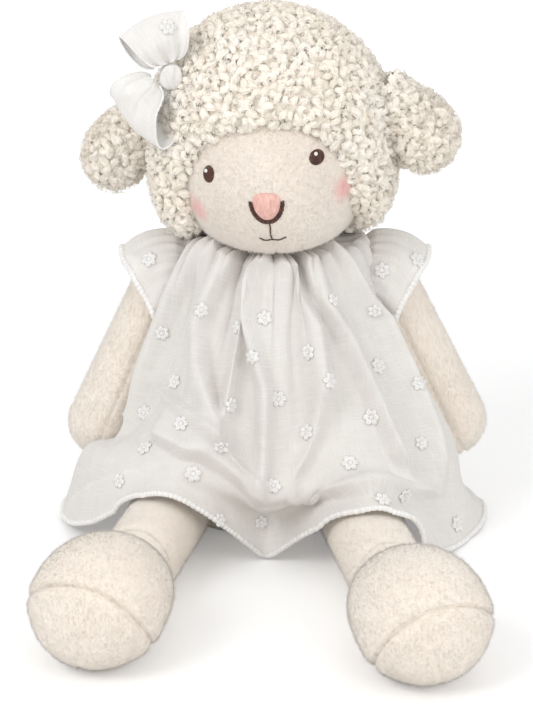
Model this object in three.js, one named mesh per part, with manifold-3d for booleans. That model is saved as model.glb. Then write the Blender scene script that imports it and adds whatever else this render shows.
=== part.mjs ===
// Plush lamb in a sprigged voile dress, sitting with its legs stretched out. Millimetres, +Z up.
// The toy faces -Y. Its own left side is +X. The origin is the middle of the seat, on the floor.

import Module from "manifold-3d";
import * as THREE from "three";
import { mergeVertices } from "three/addons/utils/BufferGeometryUtils.js";

const wasm = await Module();
wasm.setup();

// Cloth, pile and the gap that pieces which touch keep
const plush = 1.2;
const voile = 0.9;
const fleecePile = 6.3;
const seam = 0.3;
const fillRoom = 0.9;
const neckRoom = 1;
const floorPress = 0.5;
const weld = 0.0001;

// How finely each form is meshed: steps round or across it, then along it
const torsoSteps = [13, 8];
const pouchSteps = [12, 7];
const faceSteps = [18, 7];
const capSteps = [18, 8];
const headFillSteps = [18, 12];
const headToolSteps = [40, 30];
const eyeSteps = [12, 2];
const glintSteps = [8, 1];
const noseSteps = [16, 2];
const threadSides = 6;
const outlineSteps = 16;
const philtrumSteps = 4;
const mouthSteps = 10;
const earSteps = [6, 5];
const knotSteps = [10, 6];
const loopSteps = [5, 10];
const armSteps = [10, 8];
const armFillSteps = [10, 10];
const armToolSides = 14;
const legSides = 10;
const thighToolSides = 12;
const earToolSides = 10;
const capsuleRows = 10;
const dressSteps = [19, 8];
const bindingSteps = [24, 5];
const sleeveSteps = [12, 3];
const normalStep = 0.002;

// Torso: an oval, pear-shaped bag that leans a little to its left
const torsoHeight = 134;
const torsoHalfWidth = 47;
const torsoHalfDepth = 41;
const torsoLean = 3.5;
const baseHeight = 7;
const pouchHalfWidth = 27;
const pouchHalfDepth = 21;
const pouchHeight = 34;
const pouchY = 9;
// height, half width, half depth
const torsoShares = [
  [0, 0, 0],
  [0, 0.7, 0.68],
  [0.05, 0.903, 0.89],
  [0.224, 1, 1],
  [0.46, 0.93, 0.9],
  [0.69, 0.802, 0.736],
  [0.856, 0.742, 0.641],
  [0.939, 0.616, 0.526],
  [1, 0.42, 0.39],
];

// Head: centre, size without fleece, and how it is turned
const headCentre = [2.5, 1, 180];
const headHalfWidth = 48;
const headHalfDepth = 46;
const headHalfHeight = 51;
const headRollDegrees = -8.5;
const headYawDegrees = -7;
const jawBulge = 10.5;
const jawDropDegrees = 39;
const jawSpreadDegrees = 30;
const noseDropDegrees = 22;
const neckZoneDegrees = 25;
const neckFadeDegrees = 18;
const woolJowl = 4;
const woolJowlDegrees = 56;
const woolJowlSpreadDegrees = 20;
const hairlineTopDegrees = 41;
const hairlineSideDegrees = 9;
const hairlineChinDegrees = 27;
const hairlineChinShare = 0.3;
const hairlinePileShare = 0.6;
const foreheadSeamDegrees = 52;

// Face: stitched eyes, nose and mouth, measured along the face
const eyeAcrossLeftDegrees = 29.5;
const eyeAcrossRightDegrees = 27;
const eyeDropLeftDegrees = 2.8;
const eyeDropRightDegrees = 4.5;
const eyeHalfWidth = 3.7;
const eyeHalfHeight = 3.4;
const eyeRise = 1.1;
const glintRadius = 0.8;
const glintRise = 0.5;
const glintShares = [0.3, 0.42];
const noseHalfWidth = 6.7;
const noseHalfHeight = 6.2;
const noseRise = 1.6;
const noseSquareness = 2.6;
const eyeSquareness = 2;
const satinEdgeShare = 0.45;
const threadRadius = 0.55;
const outlineSweepDegrees = 78;
const philtrumLength = 7.2;
const mouthHalfWidth = 6.2;
const mouthRise = 1.6;

// Ears: arched fleece flaps with a smooth lining, hinged at the seam that sets them in the head
const earLength = 45;
const earHalfWidth = 18;
const earRiseHeight = 14;
const earRootRadius = 3;
const earArchDegrees = 100;
const earLiningShare = 0.72;
const earInnerShare = 0.62;
const earRootWidthShare = 0.55;
const earFullWidthShare = 0.45;
const earFullRiseShare = 0.32;
const earGrooveShare = 0.62;
const earSeatUpLeftDegrees = 12;
const earSeatUpRightDegrees = 16;
const earDroopLeftDegrees = 46;
const earDroopRightDegrees = 47;
const earTurnDegrees = 45;

// Bow: two loops pinched by a knot, on the right side of the head
const bowPlace = [-34.8, -31, 37.2];
const bowKnotHalf = [4.6, 4.2, 7];
const bowLoopLength = 25;
const bowLoopHalfWidth = 14.5;
const bowPinchHalfWidth = 4;
const bowPuff = 4.5;
const bowKnotPower = 0.8;
const bowEdgeDipShare = 0.12;
const bowPinchPuffShare = 0.35;
const bowOpenShare = 0.6;
const bowUpperDegrees = 97;
const bowLowerDegrees = 224;
const bowLeanDegrees = 8;

// Arms: capsules that widen towards the hand
const shoulderReachLeft = 48;
const shoulderReachRight = 45.8;
const shoulderY = 4;
const shoulderHeight = 117;
const armRadius = 14.5;
const handRadius = 17;
const armLength = 97;
const armOpeningShare = 0.14;
const ballShare = 0.3;
const armSpreadLeftDegrees = 25.5;
const armSpreadRightDegrees = 23.8;

// Legs: tubes that end in round feet, lying on the floor
const hipReach = 40;
const hipLeftY = -42;
const hipRightY = -29.5;
const legRadius = 17;
const ankleAlong = 87;
const legLength = 160;
const footHalfWidth = 27.5;
const footHalfHeight = 25.5;
const legSplayLeftDegrees = 9.2;
const legSplayRightDegrees = 11.6;
const toeSeamAlong = 152;
const toeSeamHeight = 40;
const toeSeamPitchDegrees = 42;
const footRollLeftDegrees = -19;
const footRollRightDegrees = 15;
const hipSwingsDegrees = [-75, 20];
const hipBallShares = [1, 0.6];
const thighShares = [0, 0.25];
// along, half width, half height, height of the centre, as shares of the leg's and the foot's sizes
const footShares = [
  [0.49, 0.6, 0.66, 0.66],
  [0.544, 0.565, 0.62, 0.63],
  [0.58, 0.65, 0.7, 0.7],
  [0.627, 0.79, 0.82, 0.82],
  [0.71, 0.94, 0.945, 0.945],
  [0.804, 1, 1, 1],
  [0.887, 0.955, 0.96, 1],
  [0.953, 0.76, 0.77, 1],
  [0.986, 0.47, 0.48, 1],
  [1, 0, 0, 1],
];

// Dress: neckline ring, hem reach and the shares that shape its folds
const neckRingHalfWidth = 33;
const neckRingFrontDepth = 28;
const neckRingBackDepth = 30;
const neckHeight = 130.3;
const bindingRadius = 1.2;
const dressHeight = 124;
const skirtReach = 100;
const gatherDepth = 2;
const gatherCount = 8;
const gatherDrift = 3;
const gatherSidePower = 6;
const legCover = 2.4;
const legCoverSide = 5.5;
const armholeRoom = 1.4;
const dressTurnsDegrees = [0, 13, 28, 44, 60, 76, 95, 140, 180, 220, 265, 284, 301, 316, 330, 347];
// For each ring from yoke to hem: its reach in each turn, then its height in each turn
const dressReachShares = [
  [0.34, 0.34, 0.35, 0.36, 0.39, 0.43, 0.42, 0.33, 0.31, 0.33, 0.39, 0.39, 0.37, 0.35, 0.34, 0.34],
  [0.43, 0.43, 0.44, 0.46, 0.5, 0.54, 0.42, 0.38, 0.36, 0.38, 0.4, 0.49, 0.46, 0.44, 0.43, 0.43],
  [0.53, 0.54, 0.56, 0.6, 0.66, 0.71, 0.5, 0.44, 0.42, 0.44, 0.45, 0.58, 0.57, 0.56, 0.55, 0.54],
  [0.63, 0.64, 0.67, 0.73, 0.8, 0.86, 0.64, 0.54, 0.52, 0.54, 0.52, 0.62, 0.66, 0.68, 0.66, 0.64],
  [0.7, 0.71, 0.76, 0.81, 0.87, 0.92, 0.76, 0.62, 0.6, 0.62, 0.64, 0.72, 0.78, 0.78, 0.76, 0.71],
  [0.54, 0.62, 0.86, 0.88, 0.9, 0.96, 0.87, 0.7, 0.68, 0.7, 0.83, 0.87, 0.86, 0.83, 0.8, 0.66],
  [0.57, 0.72, 1.02, 1.02, 0.98, 1.01, 1.01, 0.84, 0.8, 0.82, 0.95, 0.94, 0.91, 0.88, 0.88, 0.7],
];
const dressHeightShares = [
  [0.96, 0.96, 0.97, 0.99, 1.03, 1.06, 1.06, 1.0, 0.99, 1.0, 1.06, 1.055, 1.03, 0.99, 0.97, 0.96],
  [0.81, 0.81, 0.82, 0.82, 0.82, 0.81, 0.8, 0.8, 0.8, 0.8, 0.8, 0.81, 0.82, 0.82, 0.82, 0.81],
  [0.59, 0.6, 0.61, 0.61, 0.6, 0.58, 0.58, 0.58, 0.58, 0.58, 0.58, 0.57, 0.58, 0.6, 0.61, 0.6],
  [0.38, 0.4, 0.45, 0.44, 0.41, 0.37, 0.36, 0.35, 0.35, 0.35, 0.36, 0.4, 0.44, 0.46, 0.46, 0.4],
  [0.24, 0.29, 0.38, 0.33, 0.26, 0.21, 0.19, 0.22, 0.22, 0.22, 0.28, 0.35, 0.38, 0.38, 0.38, 0.3],
  [0.16, 0.21, 0.34, 0.25, 0.16, 0.11, 0.11, 0.11, 0.11, 0.11, 0.21, 0.3, 0.32, 0.32, 0.33, 0.22],
  [0.013, 0.13, 0.3, 0.1, 0.016, 0.016, 0.016, 0.013, 0.013, 0.013, 0.02, 0.03, 0.11, 0.23, 0.31, 0.14],
];
const gatherShares = [0, 1, 1.2, 1.2, 0.8, 0.5, 0.4, 0.5];

// Sleeves: flutter caps round the shoulders
const sleeveRadius = 17;
const sleeveFlare = 3;
const sleeveDroop = 7;
const sleeveLength = 27;
const sleeveSideLength = 8;
const sleeveInset = 4;
const sleeveArcDegrees = 122;
const sleeveRipple = 0.8;
const sleeveRippleCount = 7;

const looks = {
  plush: new THREE.MeshStandardMaterial({ color: 0xefe4d6, roughness: 0.95, metalness: 0 }),
  fleece: new THREE.MeshStandardMaterial({ color: 0xf1e9dd, roughness: 1, metalness: 0 }),
  lining: new THREE.MeshStandardMaterial({ color: 0xe6d3bd, roughness: 0.9, metalness: 0 }),
  voile: new THREE.MeshStandardMaterial({ color: 0xf3f1ef, roughness: 0.9, metalness: 0 }),
  stuffing: new THREE.MeshStandardMaterial({ color: 0xfafafa, roughness: 1, metalness: 0 }),
  pellets: new THREE.MeshStandardMaterial({ color: 0xe3e3e0, roughness: 0.6, metalness: 0 }),
  brownThread: new THREE.MeshStandardMaterial({ color: 0x3a2520, roughness: 0.6, metalness: 0 }),
  pinkThread: new THREE.MeshStandardMaterial({ color: 0xe3a09a, roughness: 0.55, metalness: 0 }),
  whiteThread: new THREE.MeshStandardMaterial({ color: 0xffffff, roughness: 0.5, metalness: 0 }),
};

// Small sums

const radians = THREE.MathUtils.degToRad;
const mix = (a, b, share) => a + (b - a) * share;
const ramp = (x, from, to) => THREE.MathUtils.smoothstep(x, from, to);
const add = (a, b) => [a[0] + b[0], a[1] + b[1], a[2] + b[2]];
const times = (a, k) => [a[0] * k, a[1] * k, a[2] * k];
const dot = (a, b) => a[0] * b[0] + a[1] * b[1] + a[2] * b[2];
const cross = (a, b) => [a[1] * b[2] - a[2] * b[1], a[2] * b[0] - a[0] * b[2], a[0] * b[1] - a[1] * b[0]];
const unit = (a) => times(a, 1 / Math.hypot(...a));

// A smooth curve through four values in a row, at a share of the way from b to c
function through(a, b, c, d, share) {
  const rise = (c - a) / 2;
  const leave = (d - b) / 2;
  const s2 = share * share;
  const s3 = s2 * share;
  const start = (2 * s3 - 3 * s2 + 1) * b + (s3 - 2 * s2 + share) * rise;
  return start + (3 * s2 - 2 * s3) * c + (s3 - s2) * leave;
}

// Row number place of a table, with its columns smoothly interpolated between rows
function rowAt(table, place) {
  const last = table.length - 1;
  const i = Math.min(Math.floor(place), last - 1);
  const pick = (k) => table[Math.min(Math.max(k, 0), last)];
  const [before, from, to, after] = [i - 1, i, i + 1, i + 2].map(pick);
  return from.map((value, c) => through(before[c], value, to[c], after[c], place - i));
}

// A closed mesh between two grid surfaces of (u, v) from 0 to 1, or inside one that closes on itself.
// ring says that u goes all the way round; poleStart and poleEnd that the surface closes to a point there.
function gridSolid(outer, inner, across, along, { ring, poleStart, poleEnd } = {}) {
  const positions = [];
  const faces = [];
  const row = along + 1;
  function addSheet(surface) {
    const start = positions.length / 3;
    for (let i = 0; i <= across; i++) {
      for (let j = 0; j <= along; j++) {
        const u = ring && i === across ? 0 : i / across;
        positions.push(...surface(u, j / along));
      }
    }
    return (i, j) => start + i * row + j;
  }
  function addQuad(a, b, c, d) {
    faces.push(a, b, c, a, c, d);
  }
  const out = addSheet(outer);
  const back = inner && addSheet(inner);
  for (let i = 0; i < across; i++) {
    for (let j = 0; j < along; j++) {
      addQuad(out(i, j), out(i + 1, j), out(i + 1, j + 1), out(i, j + 1));
      if (back) addQuad(back(i, j), back(i, j + 1), back(i + 1, j + 1), back(i + 1, j));
    }
    if (back && !poleStart) addQuad(out(i, 0), back(i, 0), back(i + 1, 0), out(i + 1, 0));
    if (back && !poleEnd) addQuad(out(i, along), out(i + 1, along), back(i + 1, along), back(i, along));
  }
  for (let j = 0; back && !ring && j < along; j++) {
    addQuad(out(0, j), out(0, j + 1), back(0, j + 1), back(0, j));
    addQuad(out(across, j), back(across, j), back(across, j + 1), out(across, j + 1));
  }
  return solidFrom(positions, faces);
}

// A manifold solid from points and triangles, its faces turned out
function solidFrom(positions, faces) {
  const loose = new THREE.BufferGeometry();
  loose.setAttribute("position", new THREE.Float32BufferAttribute(positions, 3));
  loose.setIndex(faces);
  const merged = mergeVertices(loose, weld);
  const place = merged.attributes.position;
  const index = merged.index.array;
  const kept = [];
  let volume = 0;
  for (let k = 0; k < index.length; k += 3) {
    const [a, b, c] = [index[k], index[k + 1], index[k + 2]];
    if (a === b || b === c || c === a) continue;
    kept.push(a, b, c);
    const [p, q, r] = [a, b, c].map((n) => [place.getX(n), place.getY(n), place.getZ(n)]);
    volume += dot(p, cross(q, r));
  }
  if (volume < 0) kept.reverse();
  const mesh = new wasm.Mesh({
    numProp: 3,
    vertProperties: new Float32Array(place.array),
    triVerts: new Uint32Array(kept),
  });
  mesh.merge();
  return new wasm.Manifold(mesh);
}

// The largest body left of a solid after cuts
function mainBody(solid) {
  return solid.decompose().reduce((best, body) => (body.volume() > best.volume() ? body : best));
}

function geometryOf(solid) {
  const mesh = solid.getMesh();
  const geometry = new THREE.BufferGeometry();
  const points = [];
  for (let k = 0; k < mesh.vertProperties.length; k += mesh.numProp) {
    points.push(...mesh.vertProperties.slice(k, k + 3));
  }
  geometry.setAttribute("position", new THREE.Float32BufferAttribute(points, 3));
  geometry.setIndex(Array.from(mesh.triVerts));
  geometry.computeVertexNormals();
  return geometry;
}

// Adds a solid to a group as a named mesh
function place(group, name, solid, material) {
  const mesh = new THREE.Mesh(geometryOf(solid), material);
  mesh.name = name;
  group.add(mesh);
}

// The solid in the toy's frame, for a solid built in a group's own frame
function moved(solid, group) {
  group.updateMatrixWorld(true);
  return solid.transform(group.matrixWorld.toArray());
}

// A capsule along -Z with its first ball at the origin, grown so that its flats clear a round of that radius
function capsule(startRadius, endRadius, length, sides) {
  const grow = 1 / Math.cos(Math.PI / sides);
  const surface = capsuleSurface(startRadius * grow, endRadius * grow, length, 0);
  return gridSolid(surface, null, sides, capsuleRows, { ring: true });
}

// A ball at the origin, a straight taper and a ball that ends at length; v runs from pole to pole
function capsuleSurface(startRadius, endRadius, length, inset, first = 0) {
  return (u, share) => {
    const v = mix(first, 1, share);
    const start = startRadius - inset;
    const end = endRadius - inset;
    let down = -start * Math.cos(((v / ballShare) * Math.PI) / 2);
    let radius = start * Math.sin(((v / ballShare) * Math.PI) / 2);
    if (v > 1 - ballShare) {
      const bend = (((v - 1) / ballShare + 1) * Math.PI) / 2;
      down = length - endRadius + end * Math.sin(bend);
      radius = end * Math.cos(bend);
    } else if (v > ballShare) {
      const taper = (v - ballShare) / (1 - 2 * ballShare);
      down = (length - endRadius) * taper;
      radius = mix(start, end, taper);
    }
    const turn = 2 * Math.PI * u;
    return [radius * Math.cos(turn), radius * Math.sin(turn), -down];
  };
}

// Torso

function torsoPoint(turn, station, inset) {
  const [heightShare, widthShare, depthShare] = rowAt(torsoShares, station);
  const height = Math.max(heightShare * torsoHeight, inset);
  const halfWidth = Math.max(widthShare * torsoHalfWidth - inset, 0);
  const halfDepth = Math.max(depthShare * torsoHalfDepth - inset, 0);
  const lean = (torsoLean * height) / torsoHeight;
  return [lean + halfWidth * Math.cos(turn), halfDepth * Math.sin(turn), height];
}

function torsoSurface(inset) {
  return (u, v) => torsoPoint(2 * Math.PI * u, v * (torsoShares.length - 1), inset);
}

// The torso's surface, drawn in to a point at the top, for stuffing
function torsoCore(inset) {
  const surface = torsoSurface(inset);
  return (u, v) => {
    const [x, y, z] = surface(u, v);
    const near = v === 1 ? 0 : 1;
    const lean = (torsoLean * z) / torsoHeight;
    return [lean + (x - lean) * near, y * near, z];
  };
}

// A squat bag of pellets that lies on the base: half an ellipsoid, grown by room all over but at the foot
function pouchSurface(room) {
  const foot = room ? 0 : plush + fillRoom;
  return (u, v) => {
    const turn = 2 * Math.PI * u;
    const tilt = Math.PI * (v - 0.5);
    const halfHeight = pouchHeight / 2 + room;
    return [
      (pouchHalfWidth + room) * Math.cos(tilt) * Math.cos(turn),
      pouchY + (pouchHalfDepth + room) * Math.cos(tilt) * Math.sin(turn),
      Math.max(plush + fillRoom + pouchHeight / 4 + halfHeight * Math.sin(tilt), foot),
    ];
  };
}

function buildTorso(group, cutters) {
  const closing = { ring: true, poleStart: true };
  const shell = gridSolid(torsoSurface(0), torsoSurface(plush), ...torsoSteps, closing);
  const fitted = cutters.reduce((solid, cutter) => solid.subtract(cutter), shell);
  const wall = fitted.trimByPlane([0, 0, 1], baseHeight + seam);
  place(group, "torso_front", mainBody(wall.trimByPlane([0, -1, 0], seam / 2)), looks.plush);
  place(group, "torso_back", mainBody(wall.trimByPlane([0, 1, 0], seam / 2)), looks.plush);
  place(group, "torso_base", mainBody(fitted.trimByPlane([0, 0, -1], -baseHeight)), looks.plush);
  const pouch = gridSolid(pouchSurface(0), null, ...pouchSteps, { ring: true });
  place(group, "pellet_pouch", pouch, looks.pellets);
  const fill = gridSolid(torsoCore(plush + fillRoom), null, ...torsoSteps, { ring: true });
  const hollow = gridSolid(pouchSurface(fillRoom), null, ...pouchSteps, { ring: true });
  const stuffing = [hollow, ...cutters].reduce((solid, cutter) => solid.subtract(cutter), fill);
  place(group, "torso_stuffing", mainBody(stuffing), looks.stuffing);
}

// Head: every point is given by its direction from the head's centre, round the nose

const noseDrop = radians(noseDropDegrees);
const noseAxis = [0, -Math.cos(noseDrop), -Math.sin(noseDrop)];
const browAxis = [0, -Math.sin(noseDrop), Math.cos(noseDrop)];
const jawDrop = radians(jawDropDegrees);
const jawAxis = [0, -Math.cos(jawDrop), -Math.sin(jawDrop)];

// Straight down in the toy's frame, as the turned head sees it
const neckAxis = new THREE.Vector3(0, 0, -1)
  .applyEuler(headTurnBack())
  .toArray();

function headTurnBack() {
  const turn = new THREE.Quaternion().setFromEuler(
    new THREE.Euler(0, radians(headRollDegrees), radians(headYawDegrees)),
  );
  return new THREE.Euler().setFromQuaternion(turn.invert());
}

function angleBetween(a, b) {
  return Math.acos(Math.min(Math.max(dot(a, b), -1), 1));
}

// Distance from the head's centre to its skin: an ellipsoid with a jaw, round where it turns on the neck
function headRadius(direction) {
  const [x, y, z] = direction;
  const oval = 1 / Math.hypot(x / headHalfWidth, y / headHalfDepth, z / headHalfHeight);
  const fromJaw = angleBetween(direction, jawAxis) / radians(jawSpreadDegrees);
  const full = oval + jawBulge * Math.exp((-fromJaw * fromJaw) / 2);
  const zone = radians(neckZoneDegrees);
  const free = ramp(angleBetween(direction, neckAxis), zone, zone + radians(neckFadeDegrees));
  return mix(headHalfHeight, full, free);
}

// Direction at an angle from the nose, turned about it from the brow towards the toy's left
function fromNose(turn, away) {
  const side = add(times(browAxis, Math.cos(turn)), [Math.sin(turn), 0, 0]);
  return add(times(noseAxis, Math.cos(away)), times(side, Math.sin(away)));
}

function hairline(turn) {
  const under = ramp(-Math.cos(turn), hairlineChinShare, 1);
  const side = Math.abs(Math.sin(turn / 2));
  return radians(hairlineTopDegrees + hairlineSideDegrees * side + hairlineChinDegrees * under);
}

function pile(direction, fromHairline) {
  const zone = radians(neckZoneDegrees);
  const free = ramp(angleBetween(direction, neckAxis), zone, zone + radians(neckFadeDegrees));
  const fromJowl = angleBetween(direction, neckAxis) - radians(woolJowlDegrees);
  const low = fromJowl / radians(woolJowlSpreadDegrees);
  const wool = fleecePile + woolJowl * Math.exp(-low * low);
  return wool * free * mix(hairlinePileShare, 1, ramp(fromHairline, 0, radians(hairlineSideDegrees)));
}

function faceSurface(lift) {
  return (u, v) => {
    const turn = 2 * Math.PI * u;
    const direction = fromNose(turn, hairline(turn) * v);
    return times(direction, headRadius(direction) + lift);
  };
}

function capSurface(lift, withPile) {
  const gap = seam / headHalfWidth;
  return (u, v) => {
    const turn = 2 * Math.PI * u;
    const away = mix(hairline(turn) + gap, Math.PI, v);
    const direction = fromNose(turn, away);
    const fleece = withPile ? pile(direction, away - hairline(turn)) : 0;
    return times(direction, headRadius(direction) + lift + fleece);
  };
}

// The head with its wool, grown by a lift: what sits on the wool is cut by it
function outerHead(lift) {
  return (u, v) => {
    const turn = 2 * Math.PI * u;
    const away = Math.PI * v;
    const direction = fromNose(turn, away);
    return times(direction, headRadius(direction) + lift + pile(direction, away - hairline(turn)));
  };
}

function wholeHead(lift) {
  return (u, v) => {
    const direction = fromNose(2 * Math.PI * u, Math.PI * v);
    return times(direction, headRadius(direction) + lift);
  };
}

// The half of a solid to one side of a plane that holds the nose's axis
function sideOfSeam(solid, turn, sign) {
  const normal = add(times(browAxis, -Math.sin(turn)), [Math.cos(turn), 0, 0]);
  return solid.trimByPlane(times(normal, sign), seam / 2);
}

// Direction at angles across and down the face
function faceDirection(across, down) {
  return [Math.sin(across) * Math.cos(down), -Math.cos(across) * Math.cos(down), -Math.sin(down)];
}

const faceRadius = headHalfDepth;

// Point on the face at lengths right and up of an aim, lifted off the pile
function onFace(aim, right, up, lift) {
  const direction = faceDirection(aim.across + right / faceRadius, aim.down - up / faceRadius);
  return times(direction, headRadius(direction) + seam + lift);
}

// A low dome of satin stitch with an oval or squarer outline
function satinPatch(aim, halfWidth, halfHeight, rise, squareness, steps) {
  const surface = (height) => (u, v) => {
    const turn = 2 * Math.PI * u;
    const power = 2 / squareness;
    const right = halfWidth * Math.sign(Math.cos(turn)) * Math.abs(Math.cos(turn)) ** power;
    const up = halfHeight * Math.sign(Math.sin(turn)) * Math.abs(Math.sin(turn)) ** power;
    return onFace(aim, right * v, up * v, height * mix(1, satinEdgeShare, v * v));
  };
  return gridSolid(surface(rise), surface(0), ...steps, { ring: true, poleStart: true });
}

// A thread that follows a path on the face: path gives lengths right and up of the aim
function threadAlong(aim, path, radius, steps) {
  const surface = (u, v) => {
    const ends = v === 0 || v === 1 ? 0 : 1;
    const [right, up] = path(v);
    const [ahead, upAhead] = path(Math.min(v + 1 / steps, 1));
    const [behind, upBehind] = path(Math.max(v - 1 / steps, 0));
    const run = Math.hypot(ahead - behind, upAhead - upBehind);
    const turn = 2 * Math.PI * u;
    const sideways = radius * ends * Math.cos(turn);
    const lift = radius + radius * ends * Math.sin(turn);
    return onFace(
      aim,
      right - (sideways * (upAhead - upBehind)) / run,
      up + (sideways * (ahead - behind)) / run,
      lift,
    );
  };
  return gridSolid(surface, null, threadSides, steps, { ring: true });
}

function buildFace(group) {
  const face = gridSolid(faceSurface(0), faceSurface(-plush), ...faceSteps, { ring: true, poleStart: true });
  const side = radians(foreheadSeamDegrees);
  const forehead = sideOfSeam(sideOfSeam(face, -side, 1), side, -1);
  const cheekLeft = sideOfSeam(sideOfSeam(face, side, 1), Math.PI, -1);
  const cheekRight = sideOfSeam(sideOfSeam(face, -side, -1), Math.PI, 1);
  place(group, "face_forehead", mainBody(forehead), looks.plush);
  place(group, "face_cheek_left", mainBody(cheekLeft), looks.plush);
  place(group, "face_cheek_right", mainBody(cheekRight), looks.plush);
  const eyes = [
    ["left", eyeAcrossLeftDegrees, eyeDropLeftDegrees],
    ["right", -eyeAcrossRightDegrees, eyeDropRightDegrees],
  ];
  for (const [name, across, down] of eyes) {
    const aim = { across: radians(across), down: radians(down) };
    const eye = satinPatch(aim, eyeHalfWidth, eyeHalfHeight, eyeRise, eyeSquareness, eyeSteps);
    place(group, "eye_" + name, eye, looks.brownThread);
    const glintAim = {
      across: aim.across - (eyeHalfWidth * glintShares[0]) / faceRadius,
      down: aim.down - (eyeHalfHeight * glintShares[1]) / faceRadius,
    };
    const lifted = (height) => (u, v) => {
      const turn = 2 * Math.PI * u;
      const reach = glintRadius * v;
      return onFace(glintAim, reach * Math.cos(turn), reach * Math.sin(turn), eyeRise + seam + height);
    };
    const glint = gridSolid(lifted(glintRise), lifted(0), ...glintSteps, { ring: true, poleStart: true });
    place(group, "eye_glint_" + name, glint, looks.whiteThread);
  }
  const noseAim = { across: 0, down: noseDrop };
  place(
    group,
    "nose_pad",
    satinPatch(noseAim, noseHalfWidth, noseHalfHeight, noseRise, noseSquareness, noseSteps),
    looks.pinkThread,
  );
  const clear = threadRadius + seam;
  const outlinePath = (v) => {
    const turn = mix(-1, 1, v) * radians(outlineSweepDegrees);
    const power = 2 / noseSquareness;
    const right = Math.sign(turn) * Math.abs(Math.sin(turn)) ** power;
    return [right * (noseHalfWidth + clear), -(Math.cos(turn) ** power) * (noseHalfHeight + clear)];
  };
  const outline = threadAlong(noseAim, outlinePath, threadRadius, outlineSteps);
  place(group, "nose_outline", outline, looks.brownThread);
  const philtrumTop = -(noseHalfHeight + clear + threadRadius + seam);
  const philtrumPath = (v) => [0, philtrumTop - philtrumLength * v];
  const philtrum = threadAlong(noseAim, philtrumPath, threadRadius, philtrumSteps);
  const mouthPath = (v) => {
    const reach = mix(-1, 1, v);
    return [reach * mouthHalfWidth, philtrumTop - philtrumLength + mouthRise * reach * reach];
  };
  const mouth = threadAlong(noseAim, mouthPath, threadRadius, mouthSteps);
  place(group, "mouth_stitch", philtrum.add(mouth), looks.brownThread);
}

// Ears

// Point on the ear's arch. s runs from the seam to the tip, turn from edge to edge, shrink is the layer.
function earPoint(sign, s, turn, shrink, inset) {
  const fromMiddle = 2 * s - 1;
  const swell = Math.sqrt(Math.max(1 - fromMiddle ** 2, 0));
  const near = fromMiddle < 0;
  const width = near ? mix(earRootWidthShare, 1, ramp(s, 0, earFullWidthShare)) : swell;
  const rise = near ? mix(earRootRadius / earRiseHeight, 1, ramp(s, 0, earFullRiseShare)) : swell;
  const halfWidth = Math.max(earHalfWidth * width * shrink - inset, 0);
  const height = Math.max(earRiseHeight * rise * shrink - inset, 0);
  const along = earLength * s * mix(1, shrink, s * s);
  return [sign * along, halfWidth * Math.sin(turn), height * Math.cos(turn)];
}

function earLayer(sign, outerShrink, innerShrink, inset) {
  const arch = radians(earArchDegrees);
  const surface = (shrink) => (u, v) => earPoint(sign, v, mix(-arch, arch, u), shrink, inset);
  return gridSolid(surface(outerShrink), surface(innerShrink), ...earSteps);
}

function buildEar(name, sign, seatUpDegrees, droopDegrees, headGroup, headShape) {
  const up = radians(seatUpDegrees);
  const direction = [sign * Math.cos(up), 0, Math.sin(up)];
  const seat = headRadius(direction) + fleecePile;
  const group = new THREE.Group();
  group.position.set(...times(direction, seat));
  const droop = sign * radians(droopDegrees) - radians(headRollDegrees);
  group.rotation.set(radians(earTurnDegrees), droop, 0, "YXZ");
  headGroup.add(group);
  group.updateMatrix();
  const head = headShape.transform(group.matrix.clone().invert().toArray());
  const fleece = earLayer(sign, 1, earLiningShare, 0).subtract(head);
  const lining = earLayer(sign, earLiningShare, earInnerShare, seam).subtract(head);
  place(group, "ear_fleece_" + name, mainBody(fleece), looks.fleece);
  place(group, "ear_lining_" + name, mainBody(lining), looks.lining);
  const reach = earHalfWidth * earGrooveShare;
  const room = earRootRadius + seam;
  const roll = capsule(room, room, 2 * reach, earToolSides).translate([0, 0, reach - room / 2]);
  return roll.rotate([90, 0, 0]).transform(group.matrix.toArray());
}

function buildBow(group, headShape) {
  const knot = (u, v) => {
    const turn = 2 * Math.PI * u;
    const ring = Math.sin(Math.PI * v) ** bowKnotPower;
    return [
      bowPlace[0] + bowKnotHalf[0] * ring * Math.cos(turn),
      bowPlace[1] + bowKnotHalf[1] * ring * Math.sin(turn),
      bowPlace[2] - bowKnotHalf[2] * Math.cos(Math.PI * v),
    ];
  };
  const tied = gridSolid(knot, null, ...knotSteps, { ring: true }).subtract(headShape);
  place(group, "bow_knot", mainBody(tied), looks.voile);
  for (const [name, degrees] of [["upper", bowUpperDegrees], ["lower", bowLowerDegrees]]) {
    const lean = radians(bowLeanDegrees);
    const flat = [Math.cos(radians(degrees)), 0, Math.sin(radians(degrees))];
    const out = add(times(flat, Math.cos(lean)), [0, Math.sin(lean), 0]);
    const wide = [-flat[2], 0, flat[0]];
    const start = bowKnotHalf[2] + seam;
    const middle = (u, v) => {
      const turn = Math.PI * v;
      const open = Math.sin(turn);
      const halfWidth = mix(bowPinchHalfWidth, bowLoopHalfWidth, ramp(open, 0, 1));
      const width = halfWidth * mix(-1, 1, u);
      const reach = start + bowLoopLength * open * (1 - bowEdgeDipShare * Math.abs(mix(-1, 1, u)));
      const puff = bowPuff * Math.cos(turn) * mix(bowPinchPuffShare, 1, ramp(open, 0, bowOpenShare));
      return add(add(bowPlace, times(out, reach)), add(times(wide, width), [0, -puff, 0]));
    };
    const loop = sheetSolid(middle, voile, loopSteps).subtract(headShape);
    place(group, "bow_loop_" + name, mainBody(loop), looks.voile);
  }
}

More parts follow.
